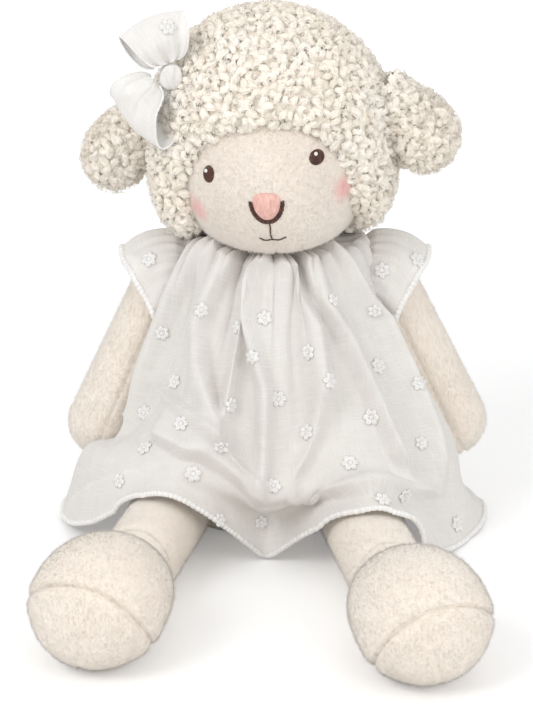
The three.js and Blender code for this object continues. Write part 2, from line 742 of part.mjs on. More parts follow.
// A sheet of one thickness, half to each side of a middle surface
function sheetSolid(middle, thickness, steps) {
  const shifted = (side) => (u, v) => {
    const here = middle(u, v);
    const lowU = middle(Math.max(u - normalStep, 0), v);
    const highU = middle(Math.min(u + normalStep, 1), v);
    const lowV = middle(u, Math.max(v - normalStep, 0));
    const highV = middle(u, Math.min(v + normalStep, 1));
    const normal = unit(cross(add(highU, times(lowU, -1)), add(highV, times(lowV, -1))));
    return add(here, times(normal, (side * thickness) / 2));
  };
  return gridSolid(shifted(1), shifted(-1), ...steps);
}

function buildHead(torsoGroup) {
  const group = new THREE.Group();
  group.position.set(...headCentre);
  group.rotation.set(0, radians(headRollDegrees), radians(headYawDegrees));
  torsoGroup.add(group);
  buildFace(group);
  const headShape = gridSolid(outerHead(seam), null, ...headToolSteps, { ring: true });
  const grooves = [
    buildEar("left", 1, earSeatUpLeftDegrees, earDroopLeftDegrees, group, headShape),
    buildEar("right", -1, earSeatUpRightDegrees, earDroopRightDegrees, group, headShape),
  ];
  const closing = { ring: true, poleEnd: true };
  const wool = gridSolid(capSurface(0, true), capSurface(-plush, false), ...capSteps, closing);
  const cap = grooves.reduce((solid, groove) => solid.subtract(groove), wool);
  place(group, "fleece_cap", mainBody(cap), looks.fleece);
  const core = gridSolid(wholeHead(-plush - fillRoom - 2 * seam), null, ...headFillSteps, { ring: true });
  place(group, "head_stuffing", core, looks.stuffing);
  buildBow(group, headShape);
  return moved(gridSolid(wholeHead(neckRoom), null, ...headToolSteps, { ring: true }), group);
}

// Arms

const shoulderLean = (torsoLean * shoulderHeight) / torsoHeight;

function armFrame(side) {
  const group = new THREE.Group();
  group.position.set(shoulderLean + side.sign * side.shoulderReach, shoulderY, shoulderHeight);
  group.rotation.y = -side.sign * radians(side.armSpread);
  return group;
}

function buildArm(side) {
  const { name, sign } = side;
  const group = armFrame(side);
  const outer = capsuleSurface(armRadius, handRadius, armLength, 0, armOpeningShare);
  const inner = capsuleSurface(armRadius, handRadius, armLength, plush, armOpeningShare);
  const skin = gridSolid(outer, inner, ...armSteps, { ring: true, poleEnd: true });
  place(group, "arm_outer_" + name, mainBody(skin.trimByPlane([sign, 0, 0], seam / 2)), looks.plush);
  place(group, "arm_inner_" + name, mainBody(skin.trimByPlane([-sign, 0, 0], seam / 2)), looks.plush);
  const core = capsuleSurface(armRadius, handRadius, armLength, plush + fillRoom);
  const fill = gridSolid(core, null, ...armFillSteps, { ring: true });
  place(group, "arm_stuffing_" + name, fill, looks.stuffing);
  return group;
}

function armClearance(side, room) {
  const tool = capsule(armRadius + room, handRadius + room, armLength + room, armToolSides);
  return moved(tool, armFrame(side));
}

// Legs

const hipHeight = legRadius - floorPress;

// Point on the leg, which lies along -Y from the hip. place is a row of the leg's stations.
const legStations = [
  ...hipBallShares.map((share) => {
    const radius = legRadius * Math.sqrt(1 - share * share);
    return [(-legRadius * share) / legLength, radius / footHalfWidth, radius / footHalfHeight, 0];
  }),
  ...thighShares.map((share) => [share, legRadius / footHalfWidth, legRadius / footHalfHeight, 0]),
  ...footShares.map(([along, width, height, centre]) => [along, width, height, centre]),
].map(([along, width, height, centre]) => [
  along,
  width,
  height,
  centre ? centre * footHalfHeight - floorPress - hipHeight : 0,
]);

function legSurface(inset, first) {
  return (u, share) => {
    const station = mix(first, legStations.length - 1, share);
    const [along, width, height, centre] = rowAt(legStations, station);
    const middle = legLength / 2;
    const far = along * legLength;
    const reach = middle + (far - middle) * (1 - inset / middle);
    const halfWidth = Math.max(width * footHalfWidth - inset, 0);
    const halfHeight = Math.max(height * footHalfHeight - inset, 0);
    const turn = 2 * Math.PI * u;
    const z = Math.max(centre + halfHeight * Math.sin(turn), inset - hipHeight);
    return [halfWidth * Math.cos(turn), -reach, z];
  };
}

function legFrame(side) {
  const group = new THREE.Group();
  group.position.set(side.sign * hipReach, side.hipY, hipHeight);
  group.rotation.z = side.sign * radians(side.legSplay);
  return group;
}

function buildLeg(legSide) {
  const { name, sign } = legSide;
  const group = legFrame(legSide);
  const closing = { ring: true, poleEnd: true };
  const skin = gridSolid(legSurface(0, 1), legSurface(plush, 1), legSides, legStations.length - 2, closing);
  place(group, "leg_skin_" + name, mainBody(skin.trimByPlane([0, 1, 0], -ankleAlong)), looks.plush);
  const foot = skin.trimByPlane([0, -1, 0], ankleAlong + seam);
  const roll = radians(legSide.footRoll);
  const pitch = radians(toeSeamPitchDegrees);
  const up = [Math.sin(roll), Math.cos(roll) * Math.sin(pitch), Math.cos(roll) * Math.cos(pitch)];
  const side = [Math.cos(roll), 0, -Math.sin(roll)];
  const seamLevel = dot(up, [0, -toeSeamAlong, toeSeamHeight - hipHeight]);
  const sole = foot.trimByPlane(times(up, -1), seam / 2 - seamLevel);
  place(group, "foot_upper_" + name, mainBody(foot.trimByPlane(up, seamLevel + seam / 2)), looks.plush);
  place(group, "sole_outer_" + name, mainBody(sole.trimByPlane(times(side, sign), seam / 2)), looks.plush);
  place(group, "sole_inner_" + name, mainBody(sole.trimByPlane(times(side, -sign), seam / 2)), looks.plush);
  const core = legSurface(plush + fillRoom, 0);
  const fill = gridSolid(core, null, legSides, legStations.length - 1, { ring: true });
  place(group, "leg_stuffing_" + name, fill, looks.stuffing);
  return group;
}

// What a thigh sweeps near the torso as it swings about the hip
function thighClearances(side) {
  return hipSwingsDegrees.map((degrees) => {
    const swing = new THREE.Group();
    swing.position.set(side.sign * hipReach, side.hipY, hipHeight);
    swing.rotation.x = -radians(degrees);
    const leg = new THREE.Group();
    leg.rotation.set(-Math.PI / 2, 0, side.sign * radians(side.legSplay), "ZXY");
    swing.add(leg);
    const tool = capsule(legRadius + seam, legRadius + seam, ankleAlong, thighToolSides);
    swing.updateMatrixWorld(true);
    return tool.transform(leg.matrixWorld.toArray());
  });
}

// Dress

// A value of one ring at a turn, smooth all the way round
function roundValue(values, degrees) {
  const count = dressTurnsDegrees.length;
  const at = ((degrees % 360) + 360) % 360;
  let i = count - 1;
  while (dressTurnsDegrees[i] > at) i--;
  const from = dressTurnsDegrees[i];
  const to = i + 1 < count ? dressTurnsDegrees[i + 1] : 360;
  const pick = (k) => values[(k + count) % count];
  return through(pick(i - 1), pick(i), pick(i + 1), pick(i + 2), (at - from) / (to - from));
}

// How high a leg stands under a point, with room for the cloth
function legTopUnder(x, y, side) {
  const splay = radians(side.legSplay);
  const outward = x * side.sign - hipReach;
  const across = outward * Math.cos(splay) + (y - side.hipY) * Math.sin(splay);
  const share = across / (legRadius + legCoverSide);
  if (Math.abs(share) > 1 || y > side.hipY + legRadius) return 0;
  return hipHeight + (legRadius + legCover) * Math.sqrt(1 - share * share);
}

// Point of the dress at a turn from the front and a place from neckline (0) to hem (1)
function dressPoint(degrees, v) {
  const turn = radians(degrees);
  const rings = dressReachShares.length;
  const side = Math.abs(Math.sin(turn));
  const neckDepth = Math.cos(turn) > 0 ? neckRingFrontDepth : neckRingBackDepth;
  const neckReach = 1 / Math.hypot(Math.sin(turn) / neckRingHalfWidth, Math.cos(turn) / neckDepth);
  const table = [[neckReach, neckHeight, gatherShares[0]]];
  for (let k = 0; k < rings; k++) {
    table.push([
      roundValue(dressReachShares[k], degrees) * skirtReach,
      roundValue(dressHeightShares[k], degrees) * dressHeight,
      gatherShares[k + 1],
    ]);
  }
  const [reach, height, gather] = rowAt(table, v * rings);
  const wave = Math.cos(gatherCount * turn + Math.sin(gatherDrift * turn));
  const fold = gatherDepth * gather * (1 - side ** gatherSidePower) * wave;
  const lean = (torsoLean * Math.max(height, 0)) / torsoHeight;
  const x = lean + (reach + fold) * Math.sin(turn);
  const y = -(reach + fold) * Math.cos(turn);
  const under = Math.max(legTopUnder(x, y, left), legTopUnder(x, y, right));
  return [x, y, Math.max(height, under, voile / 2 + seam)];
}

function buildDress(group, cutters) {
  const tools = [];
  const panels = [
    ["dress_front", -90],
    ["dress_back", 90],
  ];
  for (const [name, from] of panels) {
    const trim = (seam / 2 / neckRingHalfWidth) * (180 / Math.PI);
    const middle = (u, v) => dressPoint(from + mix(trim, 180 - trim, u), v);
    const sheet = sheetSolid(middle, voile, dressSteps);
    const panel = cutters.reduce((solid, cutter) => solid.subtract(cutter), sheet);
    place(group, name, mainBody(panel), looks.voile);
    tools.push(sheetSolid(middle, voile + 2 * seam, dressSteps));
  }
  const ring = bindingRadius;
  const lean = (torsoLean * neckHeight) / torsoHeight;
  const binding = (u, v) => {
    const turn = 2 * Math.PI * u;
    const around = 2 * Math.PI * v;
    const out = -ring * Math.cos(around);
    const depth = Math.sin(turn) > 0 ? neckRingBackDepth : neckRingFrontDepth;
    return [
      lean + (neckRingHalfWidth + out) * Math.cos(turn),
      (depth + out) * Math.sin(turn),
      neckHeight + voile + 2 * seam + ring + ring * Math.sin(around),
    ];
  };
  const rim = gridSolid(binding, null, ...bindingSteps, { ring: true });
  place(group, "neck_binding", rim, looks.voile);
  return tools;
}

function buildSleeve(group, side, dressTools) {
  const arc = radians(sleeveArcDegrees);
  const middle = (u, v) => {
    const turn = mix(-arc, arc, u);
    const length = mix(sleeveSideLength, sleeveLength, (1 + Math.cos(turn)) / 2);
    const ripple = sleeveRipple * Math.cos(sleeveRippleCount * turn) * v;
    const radius = sleeveRadius + sleeveFlare * v * v + ripple;
    return [
      shoulderLean + side.sign * (side.shoulderReach - sleeveInset + length * v),
      shoulderY + radius * Math.sin(turn),
      shoulderHeight + radius * Math.cos(turn) - sleeveDroop * v * v,
    ];
  };
  const sheet = sheetSolid(middle, voile, sleeveSteps);
  const sleeve = dressTools.reduce((solid, tool) => solid.subtract(tool), sheet);
  place(group, "sleeve_" + side.name, mainBody(sleeve), looks.voile);
}

// The toy

const left = {
  name: "left",
  sign: 1,
  shoulderReach: shoulderReachLeft,
  armSpread: armSpreadLeftDegrees,
  hipY: hipLeftY,
  legSplay: legSplayLeftDegrees,
  footRoll: footRollLeftDegrees,
};
const right = {
  name: "right",
  sign: -1,
  shoulderReach: shoulderReachRight,
  armSpread: armSpreadRightDegrees,
  hipY: hipRightY,
  legSplay: legSplayRightDegrees,
  footRoll: footRollRightDegrees,
};
const sides = [left, right];
const lamb = new THREE.Group();
const headTool = buildHead(lamb);
const thighTools = sides.flatMap(thighClearances);
const armTools = sides.map((side) => armClearance(side, 2 * seam));
const armholes = sides.map((side) => armClearance(side, armholeRoom));
buildTorso(lamb, [headTool, ...thighTools, ...armTools]);
for (const side of sides) lamb.add(buildArm(side), buildLeg(side));
const dressTools = buildDress(lamb, armholes);
for (const side of sides) buildSleeve(lamb, side, dressTools);

export default lamb;
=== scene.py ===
# Looks of a plush lamb in a sprigged voile dress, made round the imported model.
# Sizes here are in millimetres and degrees, and a piece's mesh is in metres.
# The toy faces -Y, and its left is +X.
import math

import bmesh
import bpy
import numpy as np
from mathutils.bvhtree import BVHTree
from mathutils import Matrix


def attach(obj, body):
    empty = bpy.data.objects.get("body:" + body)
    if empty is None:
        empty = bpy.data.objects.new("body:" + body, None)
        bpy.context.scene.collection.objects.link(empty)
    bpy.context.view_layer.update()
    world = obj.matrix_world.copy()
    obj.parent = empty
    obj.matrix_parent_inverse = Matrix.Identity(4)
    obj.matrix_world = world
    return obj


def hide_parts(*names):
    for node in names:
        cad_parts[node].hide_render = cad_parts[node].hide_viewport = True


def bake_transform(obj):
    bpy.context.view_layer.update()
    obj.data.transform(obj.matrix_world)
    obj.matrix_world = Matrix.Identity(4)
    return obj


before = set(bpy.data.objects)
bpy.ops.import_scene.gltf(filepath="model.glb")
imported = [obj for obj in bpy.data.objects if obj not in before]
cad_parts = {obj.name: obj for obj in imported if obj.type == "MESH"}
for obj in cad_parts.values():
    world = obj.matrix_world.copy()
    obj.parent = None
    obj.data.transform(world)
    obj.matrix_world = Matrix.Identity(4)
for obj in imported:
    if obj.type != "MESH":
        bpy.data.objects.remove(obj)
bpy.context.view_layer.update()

MM = 0.001
RIGHT = np.array([1.0, 0, 0])
UP = np.array([0, 0, 1.0])

# The solids' own dimensions, repeated

TORSO_HEIGHT = 134
TORSO_HALF_WIDTH = 47
TORSO_HALF_DEPTH = 41
TORSO_LEAN = 3.5
# each ring's share of the height, half width and half depth
TORSO_SHARES = np.array([
    [0, 0, 0], [0, 0.7, 0.68], [0.05, 0.903, 0.89], [0.224, 1, 1], [0.46, 0.93, 0.9],
    [0.69, 0.802, 0.736], [0.856, 0.742, 0.641], [0.939, 0.616, 0.526], [1, 0.42, 0.39],
])
HEAD_CENTRE = np.array([2.5, 1, 180])
HEAD_HALF = np.array([48, 46, 51])
HEAD_ROLL = -8.5
HEAD_YAW = -7
JAW_BULGE = 10.5
JAW_DROP = 39
JAW_SPREAD = 30
NOSE_DROP = 22
NECK_ZONE = 25
NECK_FADE = 18
PILE_HEIGHT = 6.3
JOWL_WOOL = 4
JOWL_ANGLE = 56
JOWL_SPREAD = 20
HAIRLINE_TOP = 41
HAIRLINE_SIDE = 9
HAIRLINE_CHIN = 27
HAIRLINE_CHIN_SHARE = 0.3
HAIRLINE_PILE_SHARE = 0.6
EAR_LENGTH = 45
EAR_HALF_WIDTH = 18
EAR_RISE = 14
EAR_ROOT = 3
EAR_ARCH = 100
EAR_LINING_SHARE = 0.72
EAR_ROOT_WIDTH_SHARE = 0.55
EAR_FULL_WIDTH_SHARE = 0.45
EAR_FULL_RISE_SHARE = 0.32
EAR_TURN = 45
BOW_PLACE = np.array([-34.8, -31, 37.2])
BOW_KNOT = np.array([4.6, 4.2, 7])
BOW_PINCH = 4
BOW_LEAN = 8
SHOULDER_Y = 4
SHOULDER_HEIGHT = 117
SHOULDER_LEAN = TORSO_LEAN * SHOULDER_HEIGHT / TORSO_HEIGHT
ARM_RADIUS = 14.5
HAND_RADIUS = 17
ARM_LENGTH = 97
BALL_SHARE = 0.3
HIP_REACH = 40
LEG_RADIUS = 17
LEG_LENGTH = 160
FOOT_HALF_WIDTH = 27.5
FOOT_HALF_HEIGHT = 25.5
FLOOR_PRESS = 0.5
HIP_HEIGHT = LEG_RADIUS - FLOOR_PRESS
TOE_SEAM_ALONG = 152
TOE_SEAM_HEIGHT = 40
TOE_SEAM_PITCH = 42
# each ring's share of the length, and of the foot's half width, half height and middle's height
LEG_STATIONS = np.array([
    [-0.10625, 0, 0, 0], [-0.06375, 0.4945, 0.5333, 0], [0, 0.6182, 0.6667, 0], [0.25, 0.6182, 0.6667, 0],
    [0.49, 0.6, 0.66, 0.66], [0.544, 0.565, 0.62, 0.63], [0.58, 0.65, 0.7, 0.7], [0.627, 0.79, 0.82, 0.82],
    [0.71, 0.94, 0.945, 0.945], [0.804, 1, 1, 1], [0.887, 0.955, 0.96, 1], [0.953, 0.76, 0.77, 1],
    [0.986, 0.47, 0.48, 1], [1, 0, 0, 1],
])
NECK_HALF_WIDTH = 33
NECK_FRONT = 28
NECK_BACK = 30
NECK_HEIGHT = 130.3
BINDING_RADIUS = 1.2
DRESS_HEIGHT = 124
SKIRT_REACH = 100
GATHER_DEPTH = 2
GATHER_COUNT = 8
GATHER_DRIFT = 3
GATHER_SIDE_POWER = 6
LEG_COVER = 2.4
LEG_COVER_SIDE = 5.5
CLOTH_LIFT = 0.75
# turns from the front in degrees, then rings from neckline to hem: shares of the reach and of the height
DRESS_TURNS = np.array([0, 13, 28, 44, 60, 76, 95, 140, 180, 220, 265, 284, 301, 316, 330, 347])
DRESS_REACH = np.array([
    [0.34, 0.34, 0.35, 0.36, 0.39, 0.43, 0.42, 0.33, 0.31, 0.33, 0.39, 0.39, 0.37, 0.35, 0.34, 0.34],
    [0.43, 0.43, 0.44, 0.46, 0.5, 0.54, 0.42, 0.38, 0.36, 0.38, 0.4, 0.49, 0.46, 0.44, 0.43, 0.43],
    [0.53, 0.54, 0.56, 0.6, 0.66, 0.71, 0.5, 0.44, 0.42, 0.44, 0.45, 0.58, 0.57, 0.56, 0.55, 0.54],
    [0.63, 0.64, 0.67, 0.73, 0.8, 0.86, 0.64, 0.54, 0.52, 0.54, 0.52, 0.62, 0.66, 0.68, 0.66, 0.64],
    [0.7, 0.71, 0.76, 0.81, 0.87, 0.92, 0.76, 0.62, 0.6, 0.62, 0.64, 0.72, 0.78, 0.78, 0.76, 0.71],
    [0.54, 0.62, 0.86, 0.88, 0.9, 0.96, 0.87, 0.7, 0.68, 0.7, 0.83, 0.87, 0.86, 0.83, 0.8, 0.66],
    [0.57, 0.72, 1.02, 1.02, 0.98, 1.01, 1.01, 0.84, 0.8, 0.82, 0.95, 0.94, 0.91, 0.88, 0.88, 0.7],
])
DRESS_HEIGHTS = np.array([
    [0.96, 0.96, 0.97, 0.99, 1.03, 1.06, 1.06, 1.0, 0.99, 1.0, 1.06, 1.055, 1.03, 0.99, 0.97, 0.96],
    [0.81, 0.81, 0.82, 0.82, 0.82, 0.81, 0.8, 0.8, 0.8, 0.8, 0.8, 0.81, 0.82, 0.82, 0.82, 0.81],
    [0.59, 0.6, 0.61, 0.61, 0.6, 0.58, 0.58, 0.58, 0.58, 0.58, 0.58, 0.57, 0.58, 0.6, 0.61, 0.6],
    [0.38, 0.4, 0.45, 0.44, 0.41, 0.37, 0.36, 0.35, 0.35, 0.35, 0.36, 0.4, 0.44, 0.46, 0.46, 0.4],
    [0.24, 0.29, 0.38, 0.33, 0.26, 0.21, 0.19, 0.22, 0.22, 0.22, 0.28, 0.35, 0.38, 0.38, 0.38, 0.3],
    [0.16, 0.21, 0.34, 0.25, 0.16, 0.11, 0.11, 0.11, 0.11, 0.11, 0.21, 0.3, 0.32, 0.32, 0.33, 0.22],
    [0.013, 0.13, 0.3, 0.1, 0.016, 0.016, 0.016, 0.013, 0.013, 0.013, 0.02, 0.03, 0.11, 0.23, 0.31, 0.14],
])
# from the neckline to the hem
GATHER_SHARES = np.array([0, 1, 1.2, 1.2, 0.8, 0.5, 0.4, 0.5])
SLEEVE_RADIUS = 17
SLEEVE_FLARE = 3
SLEEVE_LENGTH = 30
SLEEVE_SIDE_LENGTH = 11
SLEEVE_INSET = 7
SLEEVE_ARC = 122
# how far the two sides differ, as the toy's left and right
SIDES = {
    "left": {"sign": 1, "reach": 48, "spread": 25.5, "hip_y": -42, "splay": 9.2, "roll": -19,
             "seat_up": 12, "droop": 46, "seam_down": 5.5},
    "right": {"sign": -1, "reach": 45.8, "spread": 23.8, "hip_y": -29.5, "splay": 11.6, "roll": 15,
              "seat_up": 16, "droop": 47, "seam_down": 1.5},
}

# How fine the meshes are, and the seeds of what is scattered

# points round and along each surface
GRIDS = {
    "torso": (72, 64), "face": (200, 110), "cap": (96, 64), "ear": (48, 40), "ear_wool": (40, 36),
    "arm": (96, 120), "leg": (112, 190), "stitches": (64, 22), "nose": (72, 26), "knot": (40, 30),
    "bow": (64, 96), "dress": (520, 120), "sleeve": (110, 36),
}
SEEDS = {
    "face_pile": 11, "cap_places": 21, "cap_gaps": 22, "cap_locks": 23, "cap_wisp_places": 31,
    "cap_wisps": 32, "ear_places": 41, "ear_gaps": 43, "ear_locks": 45, "ear_wisp_places": 47,
    "ear_wisps": 49, "arm_pile": 51, "leg_pile": 61, "dress_flowers": 71, "bow_flower": 75,
    "sleeve_flowers": 76, "pleats": 81,
}
MERGE_DISTANCE = 1e-5  # metres

# Pile

PILE_DENSITY = 3.4  # hairs on a square millimetre
SHIN_PILE_DENSITY = 2.0
FACE_PILE_DENSITY = 4.2
PILE_LENGTH = 1.9
FACE_PILE_LENGTH = 1.5
PILE_LENGTHS = (0.65, 1.25)  # shares of the length
PILE_LEAN = 74
PILE_LEAN_SPREAD = 0.2
PILE_WIDTH = 0.08
PILE_WIDTHS = (0.7, 1.3)  # shares of the width
PILE_UNEVEN = 0.13
PILE_ROUNDING = 4
PILE_SUNK = 0.25
PILE_LEAST_RISE = 0.3
PILE_FROM_FLOOR = 1.2
FLOOR_CLEARANCE = 0.15
TUFT_SIZE = 2.2
TUFT_JITTER = 0.3
TUFT_PULL = 0.28

# Wool

GROUND_SHARE = 0.88
EAR_GROUND_SHARE = 0.84
EAR_INNER_SHARE = 0.62
EAR_LINING_OVER = 0.004
EAR_LINING_FROM = 0.02
EAR_WOOL_ROOT_WIDTH = 0.66
EAR_WOOL_ROOT_RISE = 0.8
EAR_WOOL_FROM = -0.08
EAR_WOOL_OVERHANG = 12
EAR_LOCK_SPACING = (2.2, 2.9)
EAR_LOCK_PLACES = 3000
EAR_WISPS = 1700
CAP_OVERHANG = 2
CAP_EDGE_SHARE = 0.03
CAP_LOCK_PLACES = 14000
CAP_LOCKS_FROM_NECK = 14
CAP_WISPS = 9000
CAP_WISPS_FROM_NECK = 20
FRINGE_ANGLES = (46, 62)
FRINGE_HANG = 0.5
LOCK_SPACING = (2.55, 3.3)
LOCK_STEPS = 8
LOCK_SIDES = 3
LOCK_STRANDS = 5
LOCK_SOFTNESS = 0.35
LOCK_TILT = 0.3
LOCK_LIE = (-75, 75)
LOCK_START = (-0.4, 0)
LOCK_TURNS = (0.7, 1.1)
LOCK_TIGHTEN = 0.4
LOCK_BEND = (1.5, 2.3)
LOCK_RISE = 0.1
LOCK_CLIMB = 0.55
LOCK_SLIDE = 1.6
LOCK_PLUMP = (1.6, 2.2)
LOCK_ENDS = (0.08, 0.5)
LOCK_WIND = (0.25, 0.6)
LOCK_TONE_SHIFT = 40
STRAND_OUT = 0.45
STRAND_SHARE = 0.6
WISP_STEPS = 5
WISP_SIDES = 3
WISP_TILT = 0.5
WISP_START = (-0.5, 0.1)
WISP_TURNS = (0.8, 1.9)
WISP_BEND = (0.8, 1.9)
WISP_RISE = 0.6
WISP_SLIDE = 2.5
WISP_RADIUS = 0.11
WISP_ENDS = (0.05, 0.3)
WISP_LIFT = 1.5

# Seams and creases of the face, arms and legs

FACE_OVERLAP = 1.1
# seam's turn about the nose, depth, and where it starts and stops in degrees away from the nose
FACE_SEAMS = ((52, 0.3, 12, 50), (-52, 0.3, 12, 50), (180, 0.7, 16, 80))
FACE_SEAM_FADES = (6, 8)
FACE_SEAM_WIDTH = 0.8
FACE_COMB = np.array([0, 0, -0.35])
SEAM_PUCKER = 0.25
SEAM_PUCKER_LENGTH = 3.1
ARM_SEAM_DEPTH = 0.75
ARM_SEAM_WIDTH = 1.0
ARM_SEAM_FROM = (0.1, 0.2)
FOOT_FROM = (92, 108)
FOOT_PILE_FROM = 78
FOOT_COMB_DOWN = 0.25
SOLE_COMB_DOWN = 1.2
TOE_CROWDING = 0.12
TOE_SEAM_BEND = 0.008
TOE_GROOVE = 1.6
TOE_GROOVE_WIDTH = 0.9
TOE_SWELL = 0.45
TOE_SWELL_OFF = 4.5
TOE_SWELL_WIDTH = 3
SOLE_GROOVE = 0.6
SOLE_GROOVE_WIDTH = 1.1
SOLE_GROOVE_TOP = (-1.5, 0.5)
# along the leg, slope across it, depth and width of each crease
ANKLE_CREASES = ((80, 0.12, 0.9, 2.2), (89, -0.1, 1.1, 2.0), (97, 0.2, 0.7, 2.2))
CREASE_HEIGHTS = (-12, 6)
CREASE_BEND = 0.02
CREASE_LIP = 0.6
CREASE_LIP_OFF = 1.9
CREASE_LIP_WIDTH = 1.3

# Stitches of the face

# side, degrees across and down the face, half width and half height, and tilt
EYES = (("left", 29.5, 2.8, (3.5, 3.0), 18), ("right", -27, 4.5, (2.75, 3.45), -16))
EYE_RISE = 1.2
EYE_DOME = 2.6
EYE_STITCH = (0.5, 0.3)  # spacing, and how far it leans
GLINT_OFF = (0.6522, 1.9565)  # degrees towards the toy's right and up
GLINT_HALF = (0.75, 0.75)
GLINT_RISE = 0.5
GLINT_LIFT = 1.05
STITCH_RISE = 0.09
STITCH_FADE = 6
NOSE_AIM = (1.3, 20.6)
NOSE_TILT = -6
NOSE_HALF = (6.5, 5.0)
NOSE_RISE = 1.9
NOSE_DOME = 2.8
NOSE_STITCH = 0.55
NOSE_SQUARENESS = 2.6
NOSE_TAPER = 0.5
NOSE_TAPER_POWER = 1.2
OUTLINE_FROM = -14
OUTLINE_STEPS = 90
OUTLINE_STRANDS = (0.25, 0.75, 1.25)
THREAD = 0.42
THREAD_SIDES = 8
THREAD_LIFT = 0.8
THREAD_TWIST = 0.22
THREAD_TWIST_STEP = 1.35
THREAD_END_STEPS = 3
THREAD_END_SHARE = 0.05
# across and down the face in degrees
PHILTRUM_ENDS = ((1.0, 28.4), (0.5, 37.4))
PHILTRUM_SWAY = 0.2
PHILTRUM_WAVES = 7
MOUTH_PLACES = ((-6.2, 36.0), (0.4, 37.6), (8.5, 37.4))
MOUTH_BEND = 0.9
MOUTH_STEPS = 60
MOUTH_THREAD = 0.315

# Bow

KNOT_SHARES = (1.05, 0.85, 0.78)
KNOT_ROUNDNESS = 0.6
KNOT_CREASE = 0.14
KNOT_CREASES = 6
KNOT_CREASE_SWAY = (3, 4)
KNOT_WEAVE = 30
# which way each loop points, and its shape; the seed varies its creases
BOW_LOOPS = {
    "upper": {
        "degrees": 103, "seed": 1, "shift": 1.5, "length": 21.5, "twist": 20, "puff": 6, "half_width": 14.5,
        "forward": 1,
    },
    "lower": {
        "degrees": 224, "seed": 2, "shift": 4, "length": 21.5, "twist": 30, "puff": 8, "half_width": 17,
        "forward": 8,
    },
}
BOW_FULLNESS = 0.42
BOW_TUCK = 1
BOW_END_BEND = 0.14
BOW_ROOT_PUFF = 0.3
BOW_PUFF_FULL = 0.5
BOW_EDGE_PUFF = 0.25
# height, waves across, and how far the seed turns them
BOW_RAYS = ((0.9, 9, 2.1), (0.45, 17, 1))
BOW_RAY_FADE = (0.1, 0.9)
BOW_RAY_LOSS = 0.8
# height, waves across and along, and how far the seed turns them
BOW_CRUMPLE = (0.5, 4, 6, 3)
BOW_WEAVE = np.array([29, 52])
BOW_HEM_RADIUS = 0.45
BOW_HEM_LUMP = 0.12
BOW_HEM_LUMP_STEP = 1.9
BOW_HEM_SIDES = 6

# Dress

PLEATS = 40
PLEAT_DEPTH = 3.6
PLEAT_HEIGHTS = (0.65, 1.15)
PLEAT_FADE_FROM = 0.03
PLEAT_FADES = (0.14, 0.48)
PLEAT_ROUNDNESS = 0.8
PLEAT_VALLEY = 0.1
PLEAT_SINK = 0.5
# how far the pleats stray, waves round and start of each drift
PLEAT_DRIFTS = ((1.1, 3, 0.8), (0.7, 7, 2))
CRUMPLE_HEIGHT = 0.35
CRUMPLE_WAVES = (32, 2.4)  # round and down
CRUMPLE_SWAY = (2, 5)  # how far, and waves round
CRUMPLE_PLACES = (0.02, 0.1, 0.2, 0.7)  # where it rises and where it fades
TUCK_PLACE = 0.05
TUCK_SHARE = 0.26
TUCK_RISE = 1.2
# the crest's turns and places, its width towards the toy's right and left, and its height
DRESS_FOLDS = (
    (((-52, 0), (-63, 0.18), (-70, 0.26), (-72, 0.4), (-70, 0.6)), 7, 4, 4.6),
    (((-35, 0), (-39, 0.2), (-40.5, 0.29), (-30, 0.42), (-22, 0.52)), 6.5, 2.2, 5.4),
    (((-18, 0), (-20, 0.18), (-20, 0.29), (-21, 0.46)), 2.2, 5, 5.4),
    (((-6.5, 0), (-10.5, 0.17), (-10, 0.26), (-1.5, 0.4), (-1.5, 0.6)), 4, 2.0, 4.8),
    (((14, 0), (23, 0.2), (28.5, 0.28), (27.5, 0.42)), 9, 1.8, 6),
    (((27.5, 0), (31.5, 0.21), (38.5, 0.32), (43, 0.45), (45, 0.66)), 2.2, 5, 5.6),
    (((50.5, 0), (57.5, 0.2), (67.5, 0.29), (66, 0.45), (62, 0.66)), 5, 4, 4.6),
    (((-56, 0.42), (-33, 0.49), (-18, 0.56), (-4, 0.63)), 9, 3.5, 4),
    (((28, 0.38), (19, 0.53), (9, 0.63)), 6, 4, 3.2),
    *((((top, 0.05), (bottom, 0.9)), 7, 7, 2.6)
      for top, bottom in ((110, 112), (136, 140), (160, 166), (188, 190), (212, 215), (240, 244))),
)
FOLD_GAIN = 1.7
# where a fold rises and where it fades, from its first and its last place
FOLD_START = (-0.05, 0.06)
FOLD_END = (-0.04, 0.14)
# turn and place along the edge where the upper skirt lies over the lower
LAP_EDGE = (
    (-47.5, 0.585), (-38, 0.625), (-30.5, 0.66), (-25.5, 0.64), (-19.5, 0.65), (-11.5, 0.665), (-3.5, 0.68),
    (5.5, 0.685), (18, 0.85), (23.5, 0.885), (28, 0.895), (36, 0.865), (45.5, 0.845), (57.5, 0.8),
)
LAP_EDGE_HEIGHT = 7.5
LAP_EDGE_SWELL = 0.16
LAP_EDGE_DROP = 0.02
LAP_EDGE_START = (-6, 8)
LAP_EDGE_END = (-8, 8)
LAP_EDGE_DENT = 0.7
LAP_EDGE_DENT_TURN = 10
LAP_EDGE_DENT_WIDTH = 9
# waves round, waves down, height and bend of each ripple
DRESS_RIPPLES = ((23, 9, 0.25, 1.5), (37, -14, 0.16, 2.2), (5, 26, 0.22, 2.6))
RIPPLE_BEND_WAVES = (2, 3)
RIPPLE_FROM = (0.1, 0.3)
CLOTH_SAG = 0.6
ARMHOLE_ROOM = 0.4
ARMHOLE_BOTTOM = 94
ARMHOLE_FADE = 3
PRESS_ROUNDS = 6
LAP_START = np.array([8, -62, 2])
LAP_WAY = np.array([0.5, -0.8, -0.35])
LAP_LENGTH = 26
DRESS_WEAVE = np.array([640, 155])
